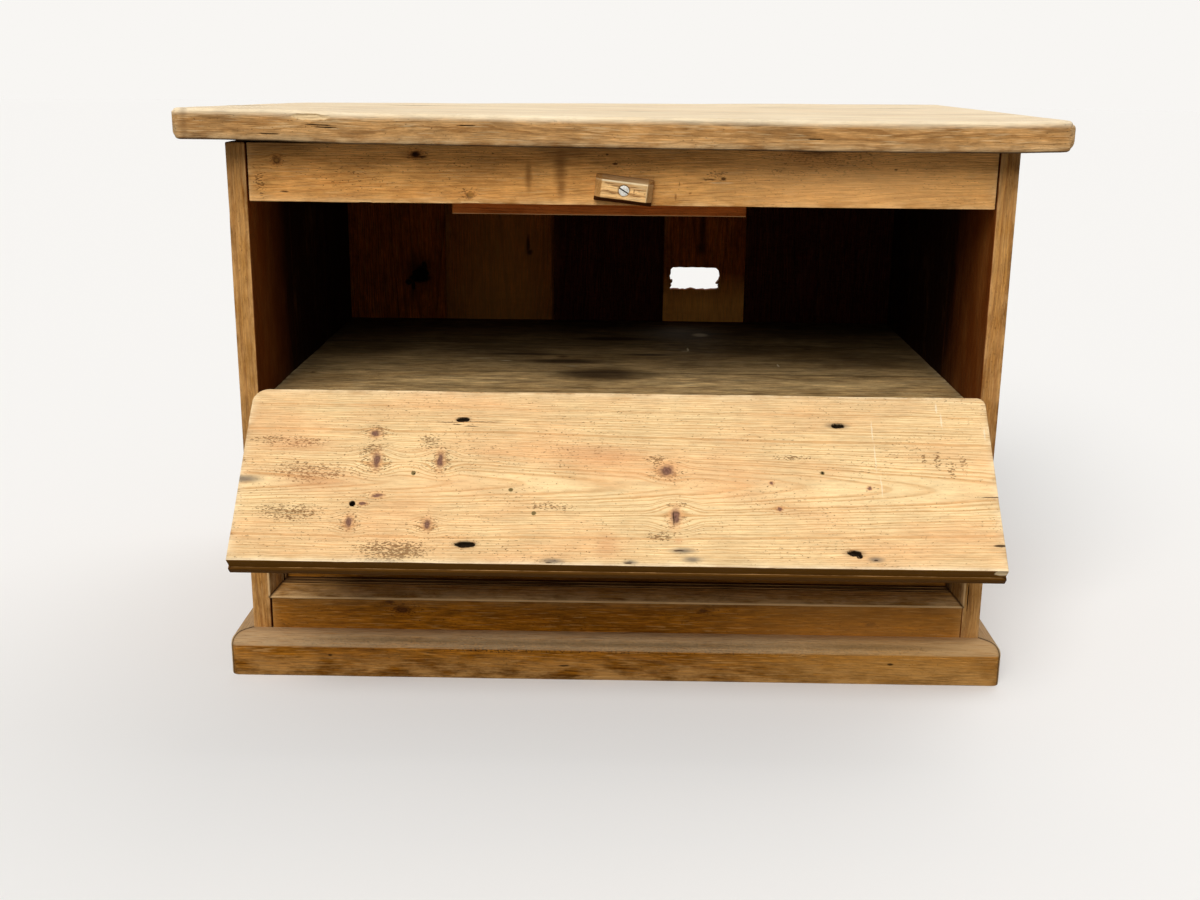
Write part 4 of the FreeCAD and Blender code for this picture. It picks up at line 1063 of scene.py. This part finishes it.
# TOP
# Three thick planks, glued edge to edge, laid over the body with an overhang all round and screwed up
# through the cleats. The pine is scrubbed pale on top, brown and knocked about along the edges.

# Scrubbed pine: pale and matt on top, scrubbed pale and painted paler still as a sheen of grazing light, brown
# and grimy along the edges, browner low on them and near black underneath as painted shade, with bold rings
# and a few knots.
top_pine = pine(
    "scrubbed_top_pine", early="#d39f62", late="#976530", flush="#b98448", dirt="#4a2d14", rubbed="#f3d5a3",
    knot=("#4f2d14", "#7d5028", "#331a0a"), ring=3.4, figure=11, loose_knots=0.35, lines=0.85, specks=0.8,
    flushed=0.6, mottle=0.34, fibres=0.3, grime=0.6, polish=0.55, mirror=0.06,
    faces=(
        # Painted shade, browner low on the edges and near black underneath; on top, scrubbed pale with a
        # painted sheen.
        (2, -11, -15, "#6e4a26", 0.5), (2, -14.2, -15.6, "#20120a", 0.95), (2, 8.5, 14.5, "#fae8c6", 0.86)),
    marks=(("#98591c", 0.6, 1.0, ((-300, -395, 280, 40),)), ("#5b3a1e", 0.3, 0.9, ((-465, -320, 4, 9),))))

top_low, top_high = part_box("top_front_plank")[0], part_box("top_back_plank")[1]
TOP_CORNER = 0.009
# Splits along the front edge, (x, z, half length), and the one broad chip above them.
TOP_SPLITS = (
    (-0.322, 0.6456, 0.017), (-0.315, 0.6434, 0.011), (-0.164, 0.6482, 0.010), (0.205, 0.640, 0.009),
    (-0.375, 0.6345, 0.010))
top_scars = [(Y, LOW, Vector((x, 0, z)), Vector((half, 1, 0.0005)), 0.0022) for x, z, half in TOP_SPLITS]
top_scars.append((Y, LOW, Vector((-0.330, 0, 0.6535)), Vector((0.018, 1, 0.0034)), 0.0019))
end_corners = (
    (X, HIGH, Z, HIGH, 0.010), (X, HIGH, Z, LOW, 0.012), (X, LOW, Z, HIGH, 0.005), (X, LOW, Z, LOW, 0.009))

# How far the warped top hangs below a flat one at the front and at the back: (x, drop) in millimetres.
FRONT_DROP = ((-480, 0), (-430, 0), (-380, 0.8), (-270, 3.3), (0, 4.9), (280, 6.0), (390, 5.5), (480, 3.6))
BACK_DROP = ((-480, 9), (-300, 8), (0, 5.5), (300, 3.2), (480, 2.4))


def drop_at(x, drops):
    """The drop between the two given places on either side of x, in metres."""
    for (from_x, from_drop), (to_x, to_drop) in zip(drops, drops[1:]):
        if x * 1000 <= to_x:
            break
    share = (x * 1000 - from_x) / (to_x - from_x)
    return (from_drop + (to_drop - from_drop) * share * share * (3 - 2 * share)) / 1000


for number, place in enumerate(PLACES):
    node = f"top_{place}_plank"
    low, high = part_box(node)
    butted = butted_edges(number)
    rounds = list(end_corners)
    if number != 1:
        rounds = [(X, side, Y, LOW if number == 0 else HIGH, TOP_CORNER) for side in (LOW, HIGH)] + rounds
    scars = top_scars if number == 0 else ()
    board = worn_board(
        low, high, (0.0045 if number == 0 else 0.008, 0.009, 0.006), 0.0075, 90 + number, butted, rounds, (),
        scars, chips=0.6, under=0.4)
    piece = add_piece(node, board, top_pine)
    heart = (0.41 * number, (0.03, -0.02, 0.05)[number], -0.06)
    slab_middle = (top_low + top_high) / 2
    mark_grain(piece.data, low, high, (X, Y, Z), heart, butted, scars, middle=slab_middle)
    for vertex in piece.data.vertices:
        back = (vertex.co.y - top_low.y) / (top_high.y - top_low.y)
        vertex.co.z -= (1 - back) * drop_at(vertex.co.x, FRONT_DROP) + back * drop_at(vertex.co.x, BACK_DROP)


# HINGES
# Two steel butt hinges, each a fixed leaf let into the shelf, a moving leaf let into the flap's edge and a
# loose pin. Slotted screws hold the leaves. They are dull, with a little rust.

# Mild steel: grey and matt where hands don't reach, with brown rust in specks.
hinge_steel = worn_metal("dull_hinge_steel", "#8f8a82", "#5f5850", "#5a3320", 0.5, 0.5)
for node, solid in frame["nodes"].items():
    if node.startswith("hinge_"):
        for seat in solid.material_slots:
            seat.material = hinge_steel


# FLAP
# One wide pine board, stripped pale, with a mitred frame nailed to its outer face. The screw holes of old
# strips and plugged worm holes show on its inner face, which is seen when it hangs open.

hinge_joint, = [joint for joint in frame["joints"] if joint["name"] == "flap_hinge"]
hinge_place = Vector(hinge_joint["pos_m"])
OPEN_TURN = math.radians(max(hinge_joint["range_deg"]))
swing_open = Matrix.Rotation(OPEN_TURN, 4, "X") @ Matrix.Translation(-hinge_place)
swing_open = Matrix.Translation(hinge_place) @ swing_open
swing_shut = swing_open.inverted()


def shut_box(node):
    """Lowest and highest corner of a node of the flap once the flap is shut."""
    places = [swing_shut @ vertex.co for vertex in frame["nodes"][node].data.vertices]
    return [Vector([limit(place[axis] for place in places) for axis in (X, Y, Z)]) for limit in (min, max)]


flap_knots = (
    (-264, -16, 4.2, 9.5), (-194, -17, 3.6, 9), (-268, -50, 5, 4), (-259, 27, 5.4, 2.6),
    (-286, 60, 3.8, 6.5), (-274, 37, 3.8, 2), (-202, 61, 3.8, 6), (54, -8, 7.5, 7), (63, 48, 5, 9.5),
    (167, 5, 2.4, 2), (175, 37, 2.6, 2.4), (273, 10, 2.6, 2))
# Softwood that was stripped pale inside: honey yellow and matt, with fine brown rings and purplish knots.
# Its free edge is painted dark brown as shade, and its outer face is still waxed brown.
flap_pine = pine(
    "stripped_flap_pine", early="#ffdda4", late="#d2985a", flush="#f2b47a", dirt="#6e431a", rubbed="#ffe3b4",
    knot=("#5c3a34", "#8e6454", "#805846"), ring=2.3, figure=3.5, lines=0.85, uneven=0.25, specks=0.72,
    flushed=0.65, mottle=0.12, fibres=0.15, knots=flap_knots, grime=0.4, polish=0.6,
    faces=(
        # A pale band by the free edge, and the free edge itself painted dark brown as shade.
        (1, 102, 105.4, "#fff0cf", 0.35), (1, 106.0, 106.6, "#6b4512", 1.8),
        (2, -7.6, -8.6, "#b57f3f", 0.9)),
    speckled=(
        (-267, -52, 17, 9), (-270, -30, 15, 8), (-264, -14, 18, 17), (-206, -42, 14, 12),
        (-192, -18, 12, 17), (-259, 26, 16, 4), (-286, 60, 13, 13), (-202, 62, 13, 12), (-240, 92, 44, 13),
        (-250, 104, 26, 6), (43, -22, 10, 8), (63, 34, 18, 5), (48, 72, 15, 6), (63, 48, 11, 12),
        (335, -26, 4, 8), (350, -24, 5, 15), (364, -16, 6, 15), (378, -20, 5, 12), (-385, -40, 26, 7),
        (-350, -38, 34, 9), (-330, 0, 46, 14), (-350, 48, 40, 12), (-70, 38, 30, 7), (190, -26, 24, 4)),
    marks=(
        ("#d58f5e", 0.35, 1.0, (
            (-20, -27, 48, 14), (-350, -35, 40, 10), (-330, 10, 50, 18), (-10, 84, 14, 16), (66, 76, 5, 5))),
        ("#6f675c", 0.8, 0.9, (
            (-67, 102, 13, 3.4), (15, 102, 9, 2.6), (70, 88, 14, 4), (80, 98, 11, 4), (273, 95, 9, 3.5),
            (-405, 9, 20, 5))),
        ("#4a4038", 0.75, 0.8, (
            (-160, 84, 14, 5), (251, 88, 12, 4), (243, -68, 14, 4), (-172, -70, 9, 3.4))),
        ("#74623a", 0.95, 0.25, (
            (-222, -1, 2.9, 2.9), (-115, 18, 2.8, 2.5), (-89, 46, 2.8, 2.6), (223, -8, 2.4, 2.4))),
        # Near black in the holes, painted shade in their depths.
        ("#15100b", 1.0, 0.3, ((-221, 0, 1.0, 1.0), (-285, 37, 3.3, 3.3), (223, -8, 1.2, 1.2))),
        ("#3b2614", 0.9, 0.4, (
            (-188, -66, 14, 0.5), (-150, -67, 22, 0.4), (-163, -61, 9, 0.6), (-178, -63, 6, 0.6),
            (404, 19, 14, 0.7), (406, 77, 8, 1.8), (61, 50, 0.7, 9), (273, 96, 2, 1), (-71, 104, 4, 0.7),
            (12, 103, 5, 1.0), (66, 88, 6, 0.8))),
        ("#fff0cf", 0.5, 0.6, (
            (355, -92, 1.2, 7), (359, -76, 1.0, 10), (281, -62, 0.8, 14), (282, -28, 0.8, 18),
            (286, 8, 0.8, 14), (405, -60, 1, 8)))))

flap_low, flap_high = shut_box("flap_board")
HOLE_DEPTH = 0.007


def hole(x, up, half_x, half_up):
    """A torn hole in the flap's inner face, in millimetres from the middle of the board."""
    centre = Vector((x / 1000, 0, (flap_low.z + flap_high.z) / 2 + up / 1000))
    return Y, HIGH, centre, Vector((half_x / 1000, 1, half_up / 1000)), HOLE_DEPTH


flap_scars = [
    hole(-172, -70, 6.5, 2.8), hole(243, -68, 7, 2.8), hole(-160, 84, 10, 3.2), hole(251, 88, 6.5, 3.2),
    hole(256, 91, 3, 2.5), hole(-285, 37, 3.0, 3.0)]
flap_scars.append((Z, LOW, Vector((0.285, flap_high.y, 0)), Vector((0.032, 0.004, 1)), 0.0013))
flap_scars.append((Z, HIGH, Vector((0.406, flap_high.y - 0.005, 0)), Vector((0.008, 0.006, 1)), 0.0014))
flap_corners = ((X, LOW, Z, LOW, 0.018), (X, HIGH, Z, LOW, 0.010))
board = worn_board(
    flap_low, flap_high, (0.0045, 0.009, 0.0055), 0.0013, 101, (), flap_corners, (), flap_scars, chips=2.2)
piece = add_piece("flap_board", board, flap_pine, "flap")
seat_low = flap_low.z - 0.002, flap_low.z + LEAF + 0.0001
carcass_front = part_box("shelf_front_plank")[0].y
cut_out(piece, leaf_seats(carcass_front, *seat_low))
mark_grain(piece.data, flap_low, flap_high, (X, Z, Y), (0.0, 0.011, -0.018), (), flap_scars)
piece.data.transform(swing_open)

FRAME_WIDTH, FRAME_DEPTH, FRAME_BEVEL, FRAME_ARRIS = 0.046, 0.011, 0.007, 0.0015
frame_outline = (
    (0, FRAME_ARRIS), (FRAME_ARRIS, 0), (FRAME_WIDTH - FRAME_BEVEL, 0), (FRAME_WIDTH, FRAME_DEPTH * 0.6),
    (FRAME_WIDTH, FRAME_DEPTH), (0, FRAME_DEPTH))
frame_low = shut_box("flap_frame_left")[0]
frame_high = shut_box("flap_frame_right")[1]
# Waxed pine: a mid brown, with one edge painted dark brown as shade.
flap_frame_pine = pine(
    "waxed_flap_frame_pine", early="#b88345", late="#7f4f20", flush="#9a6429", dirt="#3a1f0b",
    rubbed="#d3a266", knot=("#41220f", "#7a4722", "#2b1409"), figure=6, loose_knots=0.2, specks=0.7,
    # One edge painted dark brown as shade.
    mottle=0.3, fibres=0.25, faces=((1, 20.5, 21.5, "#5c3a0f", 1.6),))
for turn, name in enumerate(("bottom", "left", "top", "right")):
    node = f"flap_frame_{name}"
    member = mitred_side(frame_outline, frame_low, frame_high, turn, 0.005, 0.0005, 110)
    round_corners(member, (frame_low, frame_high), flap_corners)
    piece = add_piece(node, member, flap_frame_pine, "flap")
    if name == "bottom":
        cut_out(piece, leaf_seats(carcass_front, *seat_low))
    low, high = shut_box(node)
    way = (X, Z, Y) if turn % 2 == 0 else (Z, X, Y)
    mark_grain(piece.data, low, high, way, (0.2 + 0.37 * turn, 0.04, 0.03))
    piece.data.transform(swing_open)


# NAILS
# Hand-driven iron nails with flat round heads hold the back boards, the plinth and the flap's frame. Their
# heads are rusty and hammered a little out of round.

# Iron nails gone rusty: a dark red-brown that is matt and pitted.
rusty_iron = worn_metal("rusted_iron_nail", "#5b4433", "#3c2a1f", "#4a2a18", 1.0, 0.65)


# (radius, depth below the head's rim), and how deep the plinth's nails are punched in and stopped with wax.
NAIL_OUTLINE = (
    (0, -0.0004), (0.0014, -0.00035), (0.0026, 0.0), (0.0029, 0.0005), (0.0016, 0.0014), (0.0013, 0.012),
    (0, 0.012))
PUNCHED = 0.0022


def nail_islands(node):
    """The points of each nail in a group of nails."""
    bm = bmesh.new()
    bm.from_mesh(frame["nodes"][node].data)
    bmesh.ops.remove_doubles(bm, verts=bm.verts, dist=0.00001)
    left = dict.fromkeys(bm.verts)
    while left:
        island = [left.popitem()[0]]
        for vertex in island:
            for near in (edge.other_vert(vertex) for edge in vertex.link_edges):
                if near in left:
                    del left[near]
                    island.append(near)
        yield [vertex.co.copy() for vertex in island]
    bm.free()


def outward_of(node, place):
    """The way that a nail's head faces."""
    if node == "flap_frame_nails":
        return swing_open.to_3x3() @ Vector((0, -1, 0))
    if node == "back_board_nails":
        return Vector((0, 1, 0))
    return Vector((0, -1, 0)) if place.y < body_low.y else Vector((1 if place.x > 0 else -1, 0, 0))


for node, body, punched in (
        ("back_board_nails", "carcass", 0), ("plinth_nails", "carcass", PUNCHED),
        ("flap_frame_nails", "flap", 0)):
    heads = bmesh.new()
    for number, points in enumerate(nail_islands(node)):
        way = outward_of(node, min(points, key=lambda p: p.y))
        face_at = max(point.dot(way) for point in points)
        rim = [point for point in points if face_at - point.dot(way) < 0.00005]
        centre = sum(rim, Vector()) / len(rim) - punched * way
        head = turned(NAIL_OUTLINE, 12)
        for vertex in head.verts:
            vertex.co *= 1 + 0.12 * noise.noise(vertex.co * 500 + Vector((number, 0, 0)))
        stand = Vector((0, -1, 0)).rotation_difference(way).to_matrix().to_4x4()
        bmesh.ops.transform(head, matrix=Matrix.Translation(centre) @ stand, verts=head.verts)
        one = new_mesh("nail", head)
        heads.from_mesh(one)
        bpy.data.meshes.remove(one)
    add_piece(node, heads, rusty_iron, body, "driven")


# STUDIO
# A pale floor that runs to the horizon, one broad soft lamp above the front left, a weaker one behind, and
# an even fill. The camera stands where the photograph was taken from.

BACKDROP, FLOOR_RADIUS = "#f8f6f3", 30


def pale_rays(tree):
    """1 for the rays that see the backdrop straight, or in metal or glass."""
    path = add(tree, "LightPath")
    seen = add(tree, "Math", (path, path.node.outputs["Is Glossy Ray"]), "MAXIMUM")
    return add(tree, "Math", (seen, path.node.outputs["Is Transmission Ray"]), "MAXIMUM")


world = bpy.data.worlds.new("studio")
bpy.context.scene.world = world
world.use_nodes = True
tree = world.node_tree
fill = add(tree, "Background", {"Color": (1, 1, 1, 1), "Strength": 0.26})
backdrop = add(tree, "Background", {"Color": linear(BACKDROP), "Strength": 1.0})
both = add(tree, "MixShader", (pale_rays(tree), fill, backdrop))
tree.links.new(both, tree.nodes["World Output"].inputs["Surface"])

# Pale matt paint, which mirrors nothing. It throws less light on the cabinet than it shows itself.
disc = bmesh.new()
bmesh.ops.create_circle(disc, cap_ends=True, radius=FLOOR_RADIUS, segments=96)
floor = new_object("floor", new_mesh("floor", disc))
floor_material, tree, floor_shader = new_material("pale_floor")
tint = add(
    tree, "Mix", {0: pale_rays(tree), 6: linear("#8a8884"), 7: linear("#f0eeeb")}, out=2, data_type="RGBA")
feed(tree, floor_shader, {"Base Color": tint, "Roughness": 0.9, "Specular IOR Level": 0.0})
floor.data.materials.append(floor_material)

for name, azimuth, height, strength, softness in (("key", -14, 42, 2.9, 42), ("back", 150, 50, 0.8, 50)):
    lamp = bpy.data.lights.new(name, "SUN")
    lamp.energy = strength
    lamp.angle = math.radians(softness)
    light = new_object(name, lamp)
    turn, lift = math.radians(azimuth), math.radians(height)
    source = Vector((math.sin(turn) * math.cos(lift), -math.cos(turn) * math.cos(lift), math.sin(lift)))
    light.rotation_euler = source.to_track_quat("Z", "Y").to_euler()

IMAGE_WIDTH, FOCAL_PIXELS, SENSOR = 1200, 1382.28, 36.0
YAW, PITCH, ROLL = -0.0116, 0.2685, 0.0106
CAMERA_PLACE = Vector((-0.00237, -1.75386, 0.70296))
forward = Vector((math.sin(YAW) * math.cos(PITCH), math.cos(YAW) * math.cos(PITCH), -math.sin(PITCH)))
level_right = Vector((math.cos(YAW), -math.sin(YAW), 0))
level_up = level_right.cross(forward)
right = math.cos(ROLL) * level_right + math.sin(ROLL) * level_up
up = math.cos(ROLL) * level_up - math.sin(ROLL) * level_right
lens = bpy.data.cameras.new("camera")
lens.sensor_width = SENSOR
lens.lens = FOCAL_PIXELS / IMAGE_WIDTH * SENSOR
camera = new_object("camera", lens)
camera.matrix_world = Matrix((right, up, -forward)).transposed().to_4x4()
camera.matrix_world.translation = CAMERA_PLACE
bpy.context.scene.camera = camera
bpy.context.scene.view_settings.view_transform = "Standard"

# Nothing stands outside the box of the solids, by however little.
box_low, box_high = cad_box
for piece in bpy.context.scene.objects:
    if piece.type == "MESH" and piece is not floor and piece not in frame["nodes"].values():
        for vertex in piece.data.vertices:
            vertex.co = [min(max(vertex.co[axis], box_low[axis]), box_high[axis]) for axis in (X, Y, Z)]
